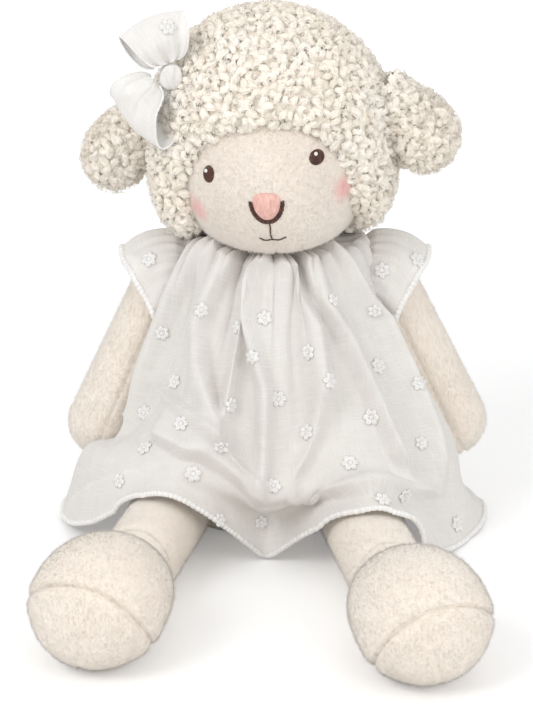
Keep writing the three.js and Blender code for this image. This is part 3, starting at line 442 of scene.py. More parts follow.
HEM_STEPS = 2400
HEM_LUMP_STEPS = 7
HEM_RADIUS = 1.3
HEM_THIN = 0.76
HEM_LUMP = 0.26
HEM_SIDES = 8
HEM_CLEARANCE = 0.1
BINDING_STEPS = 180
BINDING_SHARE = 0.8
BINDING_LUMP = 0.1
BINDING_WEAVE = 200

# Sleeves

SLEEVE_CURL = 11
SLEEVE_CURL_POWER = 3
SLEEVE_TAPER = 1.7
SLEEVE_TUCK = 2.5
SLEEVE_TUCK_PLACE = 0.2
SLEEVE_WAVES = 7
SLEEVE_WAVE = 1.3
SLEEVE_GATHERS = 21
SLEEVE_GATHER = 0.7
SLEEVE_GATHER_START = 1
SLEEVE_GATHER_FADE = 1.2
SLEEVE_PUFF = 1.6
SLEEVE_WEAVE = np.array([82, 26])
SLEEVE_HEM_RADIUS = 1.55
SLEEVE_HEM_STEPS = 240
SLEEVE_HEM_LUMP_STEPS = 5

# Flowers

FLOWER_PETALS = 6
FLOWER_RADIUS = 3.6
FLOWER_SIZES = (0.92, 1.1)  # shares of the radius
FLOWER_BEND = 1.2
FLOWER_LEAST_RISE = 0.05
FLOWER_SEARCH = 6
FLOWER_FACING = 0.8  # how strongly a flower turns to the camera, beside its normal
PETAL_STEPS = 8
PETAL_SIDES = 5
# a petal's loop and the eyelet in the middle, as shares of the flower's radius
PETAL_MIDDLE = 0.6
PETAL_HALF_LENGTH = 0.23
PETAL_HALF_WIDTH = 0.17
PETAL_HEIGHT = 0.16
PETAL_THREAD = 0.2
EYELET_RADIUS = 0.14
EYELET_HEIGHT = 0.224
EYELET_THREAD = 0.16
# where the flowers are seen in the photograph's frame
FLOWER_PIXELS = (
    (201, 310), (237, 327), (265, 318), (162, 333), (252, 357), (175, 382), (231, 405), (278, 399),
    (145, 413), (181, 424), (145, 448), (221, 447), (193, 474), (119, 481), (273, 486), (261, 522),
    (220, 520), (123, 504), (333, 300), (375, 311), (309, 352), (330, 381), (378, 366), (419, 383),
    (372, 417), (421, 443), (307, 432), (350, 463), (405, 495), (383, 500), (459, 458), (457, 524),
)
SLEEVE_FLOWER_PIXELS = {"right": ((149, 259),), "left": ((382, 270), (417, 260))}
BOW_FLOWER_PIXELS = ((168, 27),)
BACK_FLOWER_ROWS = (0.2, 0.36, 0.52, 0.68, 0.84)
BACK_FLOWER_TURNS = (98, 262)
BACK_FLOWER_STEP = 19
BACK_FLOWER_OFFSET = 9
ROW_STEP = 0.01

# Colours from 0 to 255, and their patterns, in waves a metre and in metres

CREAM = (249, 241, 231)
CREAM_SHADE = (237, 224, 208)
FACE_CREAM = (242, 234, 224)
FACE_SHADE = (227, 213, 198)
TAN = (226, 205, 180)
TAN_SHADE = (208, 182, 154)
BLUSH = (240, 168, 165)
# across and down the face in degrees, and the blush's reach in millimetres
BLUSH_PLACES = ((43.8, 22.2, 10), (-41.5, 23.8, 10))
BLUSH_STRENGTH = 0.72
BLUSH_PATCHES = 0.004
PLUSH_DRIFT = 22.0
PLUSH_CLUMPS = 420.0
PLUSH_HAIRS = 2300.0
PLUSH_HAIR_STRETCH = 0.35
PLUSH_HAIR_BUMP = 0.6
PLUSH_BUMP = 0.00025
DRIFT_TONE = 0.3
CLUMP_TONE = 0.3
HAIR_TONE = 0.4
PLUSH_TONES = (0.36, 0.64)
SKIN_SHEEN = 0.4
HAIR_SHEEN = 0.7
FLEECE = (254, 249, 240)
FLEECE_SHADE = (250, 240, 225)
FLEECE_GROUND = (255, 249, 238)
FLEECE_DRIFT = 30.0
FLEECE_FIBRES = (9.0, 2.0)  # waves round and along a lock
FLEECE_TONES = (0.3, 0.66)
FLEECE_BUMP = 0.00014
VOILE = (235, 232, 228)
VOILE_SHADE = (226, 223, 218)
# the bow's and binding's voile: painted a little lighter than the dress's, as painted light where the bow is
# lit
BOW_VOILE_PAINTED_LIGHTER = (236, 234, 231)
BOW_SHADE_PAINTED_LIGHTER = (228, 225, 221)
VOILE_COVER = 0.9
BOW_COVER = 0.94
COVER_SPREAD = 0.05
WEAVE_HOLES = (0.42, 0.7)
THREAD_SPACING = 0.4  # millimetres on the sheet
# waves a millimetre
WARP_SLUBS = 0.09
WEFT_SLUBS = 0.07
VOILE_CLOUDS = 0.12
# where the tones start and end in the weave's noise, and the weave's height in metres
VOILE_TONES = (0.3, 0.78)
VOILE_BUMP = 0.00004
WHITE_THREAD = ((242, 241, 239), (230, 228, 225))
BROWN_THREAD = ((92, 52, 40), (52, 28, 21))
PINK_THREAD = ((236, 194, 184), (218, 166, 154))
THREAD_STRETCH = 0.12
THREAD_TONES = (0.35, 0.65)
THREAD_BUMP = 0.0002

# Camera and studio

CAMERA_PLACE = np.array([0.2, -963.8, 389.9])
CAMERA_PITCH = 18
CAMERA_LENS = 111.39
SENSOR = 36
PHOTO_SIZE = (533, 711)
WORLD_LIGHT = 0.72
# place and size in metres, and power in watts
LAMPS = {
    "key": ((-0.85, -0.9, 1.05), 0.7, 7.8),
    "fill": ((0.9, -1.1, 0.55), 1.3, 6.8),
    "top": ((0.1, 0.5, 1.4), 1.2, 2),
}
LAMPS_AIM = (0, 0, 0.12)
FLOOR = (0.86, 0.86, 0.86, 1.0)
# how strongly the floor glows to the camera near and far, and those distances in metres
FLOOR_GLOWS = (0.2, 0.8)
FLOOR_DISTANCES = (0.35, 1.5)
FLOOR_HALF = 8.0  # metres
FLOOR_BELOW = 0.2

# Small sums on arrays


def ramp(x, start, end):
    """A smooth step: 3t squared less 2t cubed, where t goes from 0 at start to 1 at end."""
    t = np.clip((x - start) / (end - start), 0, 1)
    return t * t * (3 - 2 * t)


def between(x, start, full, fading, end):
    """0 before start, 1 from full to fading and 0 past end, by smooth steps."""
    return ramp(x, start, full) * (1 - ramp(x, fading, end))


def mix(a, b, share):
    """The value at a share of the straight way from a to b."""
    return a + (b - a) * share


def bell(x, width):
    """The bell curve e to the minus x over width squared."""
    return np.exp(-((x / width) ** 2))


def unit(v):
    """Each vector over its own length."""
    return v / np.maximum(np.linalg.norm(v, axis=-1, keepdims=True), 1e-12)


def half_turned(degrees):
    """The same turn from -180 to 180 degrees."""
    return np.mod(degrees + 180, 360) - 180


def through(a, b, c, d, share):
    """The Catmull-Rom cubic through four values in a row, at a share of the way from b to c."""
    rise, leave, s2, s3 = (c - a) / 2, (d - b) / 2, share**2, share**3
    value = (2 * s3 - 3 * s2 + 1) * b + (s3 - 2 * s2 + share) * rise
    return value + (3 * s2 - 2 * s3) * c + (s3 - s2) * leave


def rows_at(table, place):
    """Rows of a table at fractional row numbers, by the cubic above. The table's first axis is its rows."""
    last = len(table) - 1
    i = np.clip(np.floor(place).astype(int), 0, last - 1)
    share = (place - i).reshape(place.shape + (1,) * (table.ndim - 1))
    picked = [table[np.clip(i + k, 0, last)] for k in (-1, 0, 1, 2)]
    return through(*picked, share)


def turn_x(degrees):
    """The matrix that turns about X."""
    c, s = math.cos(math.radians(degrees)), math.sin(math.radians(degrees))
    return np.array([[1, 0, 0], [0, c, -s], [0, s, c]])


def turn_y(degrees):
    """The matrix that turns about Y."""
    c, s = math.cos(math.radians(degrees)), math.sin(math.radians(degrees))
    return np.array([[c, 0, s], [0, 1, 0], [-s, 0, c]])


def turn_z(degrees):
    """The matrix that turns about Z."""
    c, s = math.cos(math.radians(degrees)), math.sin(math.radians(degrees))
    return np.array([[c, -s, 0], [s, c, 0], [0, 0, 1]])


def turned_flat(right, up, degrees):
    """Right and up, turned in their own plane."""
    c, s = math.cos(math.radians(degrees)), math.sin(math.radians(degrees))
    return right * c - up * s, right * s + up * c


def angle_between(a, b):
    """The angle whose cosine is the product of two unit vectors."""
    return np.arccos(np.clip(a @ b, -1, 1))


# Meshes from grids


def grid(across, along, ring=False):
    """Faces of a grid of (across + 1) by (along + 1) points, or of across by (along + 1) where it closes into
    a ring, four corner numbers each, with the (u, v) of every corner."""
    i, j = np.meshgrid(np.arange(across), np.arange(along), indexing="ij")
    i, j = i.ravel()[:, None], j.ravel()[:, None]
    ci = i + np.array([0, 1, 1, 0])
    cj = j + np.array([0, 0, 1, 1])
    faces = (ci % across if ring else ci) * (along + 1) + cj
    return faces, np.stack([ci / across, cj / along], -1)


def grid_uv(across, along, ring=False):
    """The u and v of each grid point, as two arrays of across (+ 1) by along + 1."""
    u = np.arange(across + (0 if ring else 1)) / across
    return np.meshgrid(u, np.linspace(0, 1, along + 1), indexing="ij")


def point_normals(points, faces):
    """Unit normals at the points: the sum of the crossed diagonals of the faces round each."""
    a, b, c, d = (points[faces[:, k]] for k in range(4))
    across = np.cross(c - a, d - b)
    total = np.zeros_like(points)
    for k in range(4):
        np.add.at(total, faces[:, k], across)
    return unit(total)


def piece(name, points, faces, look, uv=None, normals=None):
    """A smooth mesh at the origin from points in millimetres, faces as corner numbers, and each corner's
    (u, v). Points that coincide aren't merged here."""
    mesh = bpy.data.meshes.new(name)
    faces = np.asarray(faces, np.int32)
    mesh.vertices.add(len(points))
    mesh.vertices.foreach_set("co", (points * MM).astype(np.float32).ravel())
    mesh.loops.add(faces.size)
    mesh.loops.foreach_set("vertex_index", faces.ravel())
    mesh.polygons.add(len(faces))
    mesh.polygons.foreach_set("loop_start", np.arange(0, faces.size, faces.shape[1], dtype=np.int32))
    mesh.update(calc_edges=True)
    mesh.validate()
    if uv is not None:
        layer = mesh.uv_layers.new(name="UVMap")
        layer.data.foreach_set("uv", uv.astype(np.float32).ravel())
    mesh.shade_smooth()
    mesh.materials.append(look)
    made = bpy.data.objects.new(name, mesh)
    bpy.context.scene.collection.objects.link(made)
    if normals is not None:
        mesh.normals_split_custom_set_from_vertices(normals.astype(np.float32))
    return made


def merged(made):
    """Joins points that coincide, as at a grid's poles, and drops the faces that this leaves without area."""
    work = bmesh.new()
    work.from_mesh(made.data)
    bmesh.ops.remove_doubles(work, verts=work.verts, dist=MERGE_DISTANCE)
    bmesh.ops.dissolve_degenerate(work, dist=MERGE_DISTANCE / 10, edges=work.edges)
    work.to_mesh(made.data)
    work.free()
    made.data.shade_smooth()
    return made


def worn(made, body, slot, *nodes):
    """A finished piece: it stands for those nodes of the solids, if any, and rides on a body; its slot is not
    used.
    """
    if nodes:
        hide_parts(*nodes)
    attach(made, body)
    return made


def resampled(at, places, points):
    """Points at places along a line that runs straight through given points at theirs."""
    return np.stack([np.interp(at, places, points[:, k]) for k in range(3)], -1)


def square_to(path, closed=False, up=None):
    """Two directions square to the path at each of its points: path cross up, and that cross path."""
    if closed:
        along = np.roll(path, -1, axis=1) - np.roll(path, 1, axis=1)
    else:
        along = np.gradient(path, axis=1)
    along = unit(along)
    guide = np.broadcast_to(UP if up is None else up, path.shape)
    across = unit(np.cross(along, guide))
    return across, np.cross(across, along)


def tube(path, radius, sides, closed=False, up=None):
    """A tube round each path: paths are (n, points, 3), radius (n, points). A ring of points stands square to
    the path at each of its points, at angle a and distance radius: across cos a plus over sin a."""
    across, over = square_to(path, closed, up)
    a = 2 * np.pi * np.arange(sides) / sides
    ring = across[:, :, None] * np.cos(a)[:, None] + over[:, :, None] * np.sin(a)[:, None]
    points = path[:, :, None] + ring * radius[:, :, None, None]
    count, steps = path.shape[:2]
    number = np.arange(count * steps * sides).reshape(count, steps, sides)
    start, end = (number, np.roll(number, -1, axis=1)) if closed else (number[:, :-1], number[:, 1:])
    faces = np.stack([start, end, np.roll(end, -1, axis=2), np.roll(start, -1, axis=2)], -1).reshape(-1, 4)
    v = np.arange(steps) / max(steps - 1, 1)
    u = np.arange(sides) / sides
    steps_v = v if closed else v[:-1]
    lv, lu = np.meshgrid(steps_v, u, indexing="ij")
    one = np.stack([
        np.stack([lu, lv], -1), np.stack([lu, lv + v[1]], -1),
        np.stack([lu + 1 / sides, lv + v[1]], -1), np.stack([lu + 1 / sides, lv], -1),
    ], -2)
    uv = np.broadcast_to(one, (count,) + one.shape).reshape(-1, 4, 2)
    return points.reshape(-1, 3), faces, uv


def joined(parts):
    """Several meshes' points, faces and corner (u, v) as one."""
    points, faces, uvs, start = [], [], [], 0
    for p, f, uv in parts:
        points.append(p)
        faces.append(f + start)
        uvs.append(uv)
        start += len(p)
    return np.concatenate(points), np.concatenate(faces), np.concatenate(uvs)


# Looks


def srgb(colour):
    """A colour as the eye names it, from 0 to 255, in the shader's linear terms."""
    c = np.array(colour) / 255
    linear = np.where(c <= 0.04045, c / 12.92, ((c + 0.055) / 1.055) ** 2.4)
    return (*linear.tolist(), 1.0)


class Look:
    """A node material with short calls for its nodes and links."""

    def __init__(self, name):
        self.material = bpy.data.materials.new(name)
        self.material.use_nodes = True
        self.tree = self.material.node_tree
        self.shader = self.tree.nodes["Principled BSDF"]
        self.out = self.tree.nodes["Material Output"]

    def add(self, kind, settings=None, **inputs):
        """A node with its settings and inputs: Base_Color names the socket Base Color, and _0 the first."""
        made = self.tree.nodes.new("ShaderNode" + kind)
        for key, value in (settings or {}).items():
            setattr(made, key, value)
        for key, value in inputs.items():
            self.set(made.inputs[int(key[1:]) if key[0] == "_" else key.replace("_", " ")], value)
        return made

    def set(self, socket, value):
        """Links a socket to another, or gives it a value of its own."""
        if isinstance(value, bpy.types.NodeSocket):
            self.tree.links.new(value, socket)
        else:
            socket.default_value = value

    def finish(self, **inputs):
        """Sets the shader's own sockets and gives the material."""
        for key, value in inputs.items():
            self.set(self.shader.inputs[key.replace("_", " ")], value)
        return self.material

    def place(self):
        """The place on the object, in metres."""
        return self.add("TexCoord").outputs["Object"]

    def uv(self):
        """The place on the sheet or along the lock."""
        return self.add("TexCoord").outputs["UV"]

    def scaled(self, vector, x, y, z=1.0):
        """A place with each of its numbers scaled."""
        return self.add("Mapping", Vector=vector, Scale=(x, y, z)).outputs[0]

    def noise(self, vector, scale, detail=3.0, rough=0.55):
        """Noise from 0 to 1, with so many waves in a unit of the place."""
        return self.add("TexNoise", Vector=vector, Scale=scale, Detail=detail, Roughness=rough).outputs["Fac"]

    def sum(self, kind, a, b):
        """One sum on two values."""
        return self.add("Math", {"operation": kind}, _0=a, _1=b).outputs[0]

    def weighted(self, *pairs):
        """The sum of each value times its share."""
        total, *others = [self.sum("MULTIPLY", value, share) for value, share in pairs]
        for other in others:
            total = self.sum("ADD", total, other)
        return total

    def range(self, value, low, high, start=0.0, end=1.0):
        """The value moved from the range low to high to the range start to end, and kept in it."""
        return self.add(
            "MapRange", Value=value, From_Min=low, From_Max=high, To_Min=start, To_Max=end,
        ).outputs[0]

    def blend(self, share, a, b):
        """The colour at a share of the way from a to b."""
        made = self.add("Mix", {"data_type": "RGBA"})
        self.set(made.inputs["Factor"], share)
        self.set(made.inputs[6], a)
        self.set(made.inputs[7], b)
        return made.outputs[2]

    def bump(self, height, distance):
        """A normal tilted by a height, whose full size is a distance in metres."""
        return self.add("Bump", Height=height, Distance=distance, Strength=1.0).outputs[0]


def plush_look(name, base, shade, blush=(), hairs=False):
    """Short pile: the colour drifts over centimetres and is mottled by clumps and hairs. The skin has a bump
    of the same clumps and hairs, and the hairs themselves a stronger sheen and no bump."""
    look = Look(name)
    at = look.place()
    drift = look.noise(at, PLUSH_DRIFT, 2.0)
    clumps = look.noise(at, PLUSH_CLUMPS, 4.0, 0.65)
    hair = look.noise(look.scaled(at, 1.0, 1.0, PLUSH_HAIR_STRETCH), PLUSH_HAIRS, 2.0)
    mottle = look.weighted((drift, DRIFT_TONE), (clumps, CLUMP_TONE), (hair, HAIR_TONE))
    colour = look.blend(look.range(mottle, *PLUSH_TONES), srgb(shade), srgb(base))
    for centre, reach in blush:
        middle = tuple((centre * MM).tolist())
        away = look.add("VectorMath", {"operation": "DISTANCE"}, _0=at, _1=middle).outputs["Value"]
        ragged = look.sum("MULTIPLY", look.sum("SUBTRACT", clumps, 0.5), BLUSH_PATCHES)
        glow = look.add(
            "MapRange", {"interpolation_type": "SMOOTHERSTEP"}, Value=look.sum("ADD", away, ragged),
            From_Min=reach * MM, From_Max=0.0, To_Min=0.0, To_Max=BLUSH_STRENGTH,
        ).outputs[0]
        colour = look.blend(glow, colour, srgb(BLUSH))
    if not hairs:
        look.finish(Normal=look.bump(look.weighted((clumps, 1.0), (hair, PLUSH_HAIR_BUMP)), PLUSH_BUMP))
    return look.finish(
        Base_Color=colour, Roughness=0.95, Specular_IOR_Level=0.1,
        Sheen_Weight=HAIR_SHEEN if hairs else SKIN_SHEEN, Sheen_Roughness=0.6,
    )


def fleece_look(name, base, shade):
    """Wool: fine fibres run along each lock in colour and height, and the colour drifts over centimetres."""
    look = Look(name)
    drift = look.noise(look.place(), FLEECE_DRIFT, 2.0)
    fibres = look.noise(look.scaled(look.uv(), *FLEECE_FIBRES), 1.0, 3.0, 0.6)
    tone = look.range(look.weighted((drift, 0.5), (fibres, 0.5)), *FLEECE_TONES)
    return look.finish(
        Base_Color=look.blend(tone, srgb(shade), srgb(base)), Roughness=0.9, Specular_IOR_Level=0.15,
        Sheen_Weight=0.3, Sheen_Roughness=0.5, Normal=look.bump(fibres, FLEECE_BUMP),
    )


def voile_look(name, cover, base, shade):
    """Slubby plain weave: warp and weft are stretched noise in the sheet's own millimetres, and the holes
    between them let some of what is behind show."""
    look = Look(name)
    uv = look.uv()
    warp = look.noise(look.scaled(uv, 1.0 / THREAD_SPACING, WARP_SLUBS), 1.0, 2.0, 0.7)
    weft = look.noise(look.scaled(uv, WEFT_SLUBS, 1.0 / THREAD_SPACING), 1.0, 2.0, 0.7)
    weave = look.sum("MAXIMUM", warp, weft)
    cloudy = look.noise(look.scaled(uv, VOILE_CLOUDS, VOILE_CLOUDS), 1.0)
    tone = look.range(look.weighted((weave, 0.5), (cloudy, 0.5)), *VOILE_TONES)
    return look.finish(
        Base_Color=look.blend(tone, srgb(shade), srgb(base)), Roughness=0.9, Specular_IOR_Level=0.15,
        Sheen_Weight=0.2, Sheen_Roughness=0.5, Normal=look.bump(weave, VOILE_BUMP),
        Alpha=look.range(weave, *WEAVE_HOLES, cover - COVER_SPREAD, cover + COVER_SPREAD),
    )


def thread_look(name, base, shade, scale, roughness):
    """Embroidery thread: fine strands whose colour and height change along the stitch."""
    look = Look(name)
    strands = look.noise(look.scaled(look.place(), 1.0, 1.0, THREAD_STRETCH), scale, 2.0, 0.6)
    colour = look.blend(look.range(strands, *THREAD_TONES), srgb(shade), srgb(base))
    return look.finish(
        Base_Color=colour, Roughness=roughness, Specular_IOR_Level=0.35, Sheen_Weight=0.15,
        Normal=look.bump(strands, THREAD_BUMP),
    )


# Pile, locks and wisps


def spread_points(points, faces, count, seed):
    """Random places on a mesh, evenly by area: a face picked by its area, then a random (a, b) on it.
    Gives each place, its normal, and its face and shares for reading other values there."""
    rng = np.random.default_rng(seed)
    p = [points[faces[:, k]] for k in range(4)]
    areas = np.linalg.norm(np.cross(p[2] - p[0], p[3] - p[1]), axis=1) / 2
    chosen = np.searchsorted(np.cumsum(areas) / areas.sum(), rng.random(count))
    a, b = rng.random((2, count, 1))
    shares = [(1 - a) * (1 - b), a * (1 - b), a * b, (1 - a) * b]
    at = sum(share * p[k][chosen] for k, share in enumerate(shares))
    vertex_normals = point_normals(points, faces)
    normal = unit(sum(share * vertex_normals[faces[chosen, k]] for k, share in enumerate(shares)))
    return at, normal, chosen, shares


def area_of(points, faces):
    """Half of each face's crossed diagonals, added up."""
    a, b, c, d = (points[faces[:, k]] for k in range(4))
    return np.linalg.norm(np.cross(c - a, d - b), axis=1).sum() / 2


def thinned_places(at, spacing, seed):
    """Keeps those places, in order, that lie no nearer to one already kept than a random spacing."""
    apart = np.random.default_rng(seed).uniform(*spacing, len(at))
    kept = np.empty((len(at), 3))
    chosen = []
    for i, here in enumerate(at):
        n = len(chosen)
        if n and ((kept[:n] - here) ** 2).sum(1).min() < apart[i] ** 2:
            continue
        kept[n] = here
        chosen.append(i)
    return np.array(chosen)


def pile_strands(name, points, faces, comb, look, seed, density=PILE_DENSITY, length=PILE_LENGTH):
    """Short pile: three-sided spikes that lean along the comb, drawn together into small tufts.
    Tip = root + length (normal cos lean + comb sin lean) + a share of the way to the tuft's middle."""
    rng = np.random.default_rng(seed)
    count = int(area_of(points, faces) * density)
    root, normal, chosen, shares = spread_points(points, faces, count, seed + 1)
    direction = sum(share * comb[faces[chosen, k]] for k, share in enumerate(shares))
    stays = root[:, 2] > PILE_FROM_FLOOR
    root, normal, direction = root[stays], normal[stays], direction[stays]
    count = len(root)
    direction = unit(direction - (direction * normal).sum(1, keepdims=True) * normal)
    lean = np.radians(PILE_LEAN) * rng.normal(1, PILE_LEAN_SPREAD, (count, 1))
    long = length * rng.uniform(*PILE_LENGTHS, (count, 1))
    aside = rng.normal(0, PILE_UNEVEN, (count, 3))
    tip = root + long * (normal * np.cos(lean) + direction * np.sin(lean) + aside)
    cell = np.round(root / TUFT_SIZE + rng.uniform(-TUFT_JITTER, TUFT_JITTER, (count, 3)))
    pull = cell * TUFT_SIZE - root
    pull -= (pull * normal).sum(1, keepdims=True) * normal
    tip += TUFT_PULL * pull
    above = ((tip - root) * normal).sum(1, keepdims=True)
    tip += normal * np.maximum(PILE_LEAST_RISE - above, 0)
    side = unit(np.cross(direction, normal))
    width = PILE_WIDTH * rng.uniform(*PILE_WIDTHS, (count, 1))
    sunk = root - normal * PILE_SUNK
    a, b, c = sunk + side * width, sunk - side * width, sunk + direction * width
    verts = np.stack([a, b, c, tip], 1).reshape(-1, 3)
    verts[:, 2] = np.maximum(verts[:, 2], FLOOR_CLEARANCE)
    base = 4 * np.arange(count)[:, None]
    spikes = np.concatenate([base + [1, 0, 3], base + [2, 1, 3], base + [0, 2, 3]])
    rounded = np.stack([side, -side, direction, 0 * side], 1).reshape(-1, 3)
    soft = unit(np.repeat(normal, 4, axis=0) + PILE_ROUNDING * rounded)
    return piece(name, verts, spikes, look, normals=soft)


def thinned_ends(s, end, power):
    """Thickness along a lock or fibre: the sine of a half turn that starts and stops short by the end's
    share, to a power."""
    return np.sin(np.pi * mix(end, 1 - end, s)) ** power


def locks(name, at, normal, look, seed, hang=0):
    """Wool locks. Each runs along a spiral, R cos a across and R sin a in a second way that leans between the
    surface and its normal, while R shrinks and the spiral climbs. Its strands wind round that path like a
    yarn's, and thin at the ends."""
    rng = np.random.default_rng(seed)
    count = len(at)
    up = unit(normal + rng.normal(0, LOCK_TILT, (count, 3)) + hang)
    across = unit(np.cross(up, unit(rng.normal(0, 1, (count, 3)))))
    side = np.cross(up, across)
    lie = np.radians(rng.uniform(*LOCK_LIE, (count, 1)))
    second = up * np.cos(lie) + side * np.sin(lie)
    s = np.linspace(0, 1, LOCK_STEPS)
    radius = rng.uniform(*LOCK_BEND, (count, 1)) * (1 - LOCK_TIGHTEN * s)
    a = 2 * np.pi * (rng.uniform(*LOCK_START, (count, 1)) + s * rng.uniform(*LOCK_TURNS, (count, 1)))
    climb = np.broadcast_to(LOCK_RISE + LOCK_CLIMB * s, a.shape)
    slide = rng.uniform(-LOCK_SLIDE, LOCK_SLIDE, (count, 1)) * (s - 0.5)
    ways = (
        (across, radius * np.cos(a)), (second, radius * np.sin(a)), (up, climb), (side, slide),
    )
    path = at[:, None] + sum(way[:, None] * far[..., None] for way, far in ways)
    plump = rng.uniform(*LOCK_PLUMP, (count, 1)) * thinned_ends(s, *LOCK_ENDS)
    guide = np.cross(across, second)[:, None]
    beside, over = square_to(path, up=guide)
    wind = rng.uniform(*LOCK_WIND, (count, 1)) * 2 * np.pi * s
    strands = []
    for k in range(LOCK_STRANDS):
        turn = 2 * np.pi * k / LOCK_STRANDS + wind
        ring = beside * np.cos(turn)[..., None] + over * np.sin(turn)[..., None]
        middle = path + ring * (STRAND_OUT * plump)[..., None]
        strands.append(tube(middle, STRAND_SHARE * plump, LOCK_SIDES, up=guide))
    verts, faces, uv = joined(strands)
    shifts = rng.uniform(0, LOCK_TONE_SHIFT, (count * LOCK_STRANDS, 2))
    uv = uv + np.repeat(shifts, len(faces) // len(shifts), axis=0)[:, None]
    around = np.tile(np.repeat(normal, LOCK_STEPS * LOCK_SIDES, axis=0), (LOCK_STRANDS, 1))
    soft = unit(point_normals(verts, faces) + LOCK_SOFTNESS * around)
    return piece(name, verts, faces, look, uv, soft)


def wisps(name, at, normal, look, seed):
    """Stray fibres: thin loops that start in the wool and bend back to it, on the same hook as a lock."""
    rng = np.random.default_rng(seed)
    count = len(at)
    up = unit(normal + rng.normal(0, WISP_TILT, (count, 3)))
    across = unit(np.cross(up, unit(rng.normal(0, 1, (count, 3)))))
    side = np.cross(up, across)
    s = np.linspace(0, 1, WISP_STEPS)
    radius = rng.uniform(*WISP_BEND, (count, 1))
    a = np.pi * (rng.uniform(*WISP_START, (count, 1)) + s * rng.uniform(*WISP_TURNS, (count, 1)))
    slide = rng.uniform(-WISP_SLIDE, WISP_SLIDE, (count, 1)) * s
    ways = ((across, radius * np.cos(a)), (up, radius * (np.sin(a) + WISP_RISE)), (side, slide))
    path = at[:, None] + sum(way[:, None] * far[..., None] for way, far in ways)
    thin = np.broadcast_to(WISP_RADIUS * thinned_ends(s, *WISP_ENDS), a.shape)
    verts, faces, uv = tube(path, thin, WISP_SIDES, up=side[:, None])
    return piece(name, verts, faces, look, uv)


# Torso


def torso_points(turn, station):
    """Rings of the pear-shaped bag: half width times cos turn, half depth times sin turn, at each height."""
    shares = rows_at(TORSO_SHARES, station)
    height = np.maximum(shares[..., 0] * TORSO_HEIGHT, 0)
    across = shares[..., 1] * TORSO_HALF_WIDTH * np.cos(turn)
    return np.stack([lean_at(height) + across, shares[..., 2] * TORSO_HALF_DEPTH * np.sin(turn), height], -1)


def lean_at(height):
    """How far the torso's axis stands aside: evenly more with height."""
    return TORSO_LEAN * height / TORSO_HEIGHT


def build_torso():
    """The bag as one padded piece."""
    u, v = grid_uv(*GRIDS["torso"], ring=True)
    points = torso_points(2 * np.pi * u, v * (len(TORSO_SHARES) - 1)).reshape(-1, 3)
    faces, uv = grid(*GRIDS["torso"], ring=True)
    torso = merged(piece("torso_plush", points, faces, LOOKS["plush"], uv))
    worn(torso, "torso", "plush", "torso_front", "torso_back", "torso_base", "torso_stuffing", "pellet_pouch")


# Head

HEAD_TURNED = turn_y(HEAD_ROLL) @ turn_z(HEAD_YAW)
NOSE_AXIS = np.array([0, -math.cos(math.radians(NOSE_DROP)), -math.sin(math.radians(NOSE_DROP))])
BROW_AXIS = np.array([0, -math.sin(math.radians(NOSE_DROP)), math.cos(math.radians(NOSE_DROP))])
JAW_AXIS = np.array([0, -math.cos(math.radians(JAW_DROP)), -math.sin(math.radians(JAW_DROP))])
NECK_AXIS = HEAD_TURNED.T @ np.array([0, 0, -1.0])


def in_world(head_points):
    """From the head's own frame to the toy's: turned, then moved to the head's centre."""
    return head_points @ HEAD_TURNED.T + HEAD_CENTRE


def in_head(points):
    """Directions from the head's centre in its own frame."""
    return unit((points - HEAD_CENTRE) @ HEAD_TURNED)


def from_nose(turn, away):
    """Direction at an angle away from the nose, turned about it from the brow towards the toy's left."""
    side = BROW_AXIS * np.cos(turn)[..., None] + RIGHT * np.sin(turn)[..., None]
    return NOSE_AXIS * np.cos(away)[..., None] + side * np.sin(away)[..., None]


def free_of_neck(direction):
    """0 in the neck's zone and 1 past it, by a smooth step."""
    return ramp(angle_between(direction, NECK_AXIS), *np.radians([NECK_ZONE, NECK_ZONE + NECK_FADE]))


def head_radius(direction):
    """Distance from centre to skin: an ellipsoid and a bell round the jaw, drawn to a ball at the neck."""
    oval = 1 / np.linalg.norm(direction / HEAD_HALF, axis=-1)
    from_jaw = angle_between(direction, JAW_AXIS) / math.radians(JAW_SPREAD)
    full = oval + JAW_BULGE * np.exp(-(from_jaw**2) / 2)
    return mix(HEAD_HALF[2], full, free_of_neck(direction))


def hairline(turn):
    """The hairline's angle from the nose: more at the sides, by the sine of half the turn, and more under the
    chin."""
    under = ramp(-np.cos(turn), HAIRLINE_CHIN_SHARE, 1)
    return np.radians(HAIRLINE_TOP + HAIRLINE_SIDE * np.abs(np.sin(turn / 2)) + HAIRLINE_CHIN * under)


def pile_at(direction, from_hairline):
    """The wool's height: even, higher on the jowls, lower at the hairline and none at the neck."""
    from_jowls = angle_between(direction, NECK_AXIS) - math.radians(JOWL_ANGLE)
    wool = PILE_HEIGHT + JOWL_WOOL * bell(from_jowls, math.radians(JOWL_SPREAD))
    low = mix(HAIRLINE_PILE_SHARE, 1, ramp(from_hairline, 0, math.radians(HAIRLINE_SIDE)))
    return wool * free_of_neck(direction) * low


def face_direction(across, down):
    """Direction at angles across and down the face."""
    return np.stack([np.sin(across) * np.cos(down), -np.cos(across) * np.cos(down), -np.sin(down)], -1)


def on_face(across, down, right, up, lift):
    """World point at millimetres right and up of an aim on the face, lifted off its skin."""
    direction = face_direction(
        math.radians(across) + right / HEAD_HALF[1], math.radians(down) - up / HEAD_HALF[1],
    )
    return in_world(direction * (head_radius(direction) + lift)[..., None])


def blush_places():
    """Middle and reach of each cheek's blush, in world millimetres."""
    none = np.zeros(1)
    return [(on_face(across, down, none, none, none)[0], reach) for across, down, reach in BLUSH_PLACES]


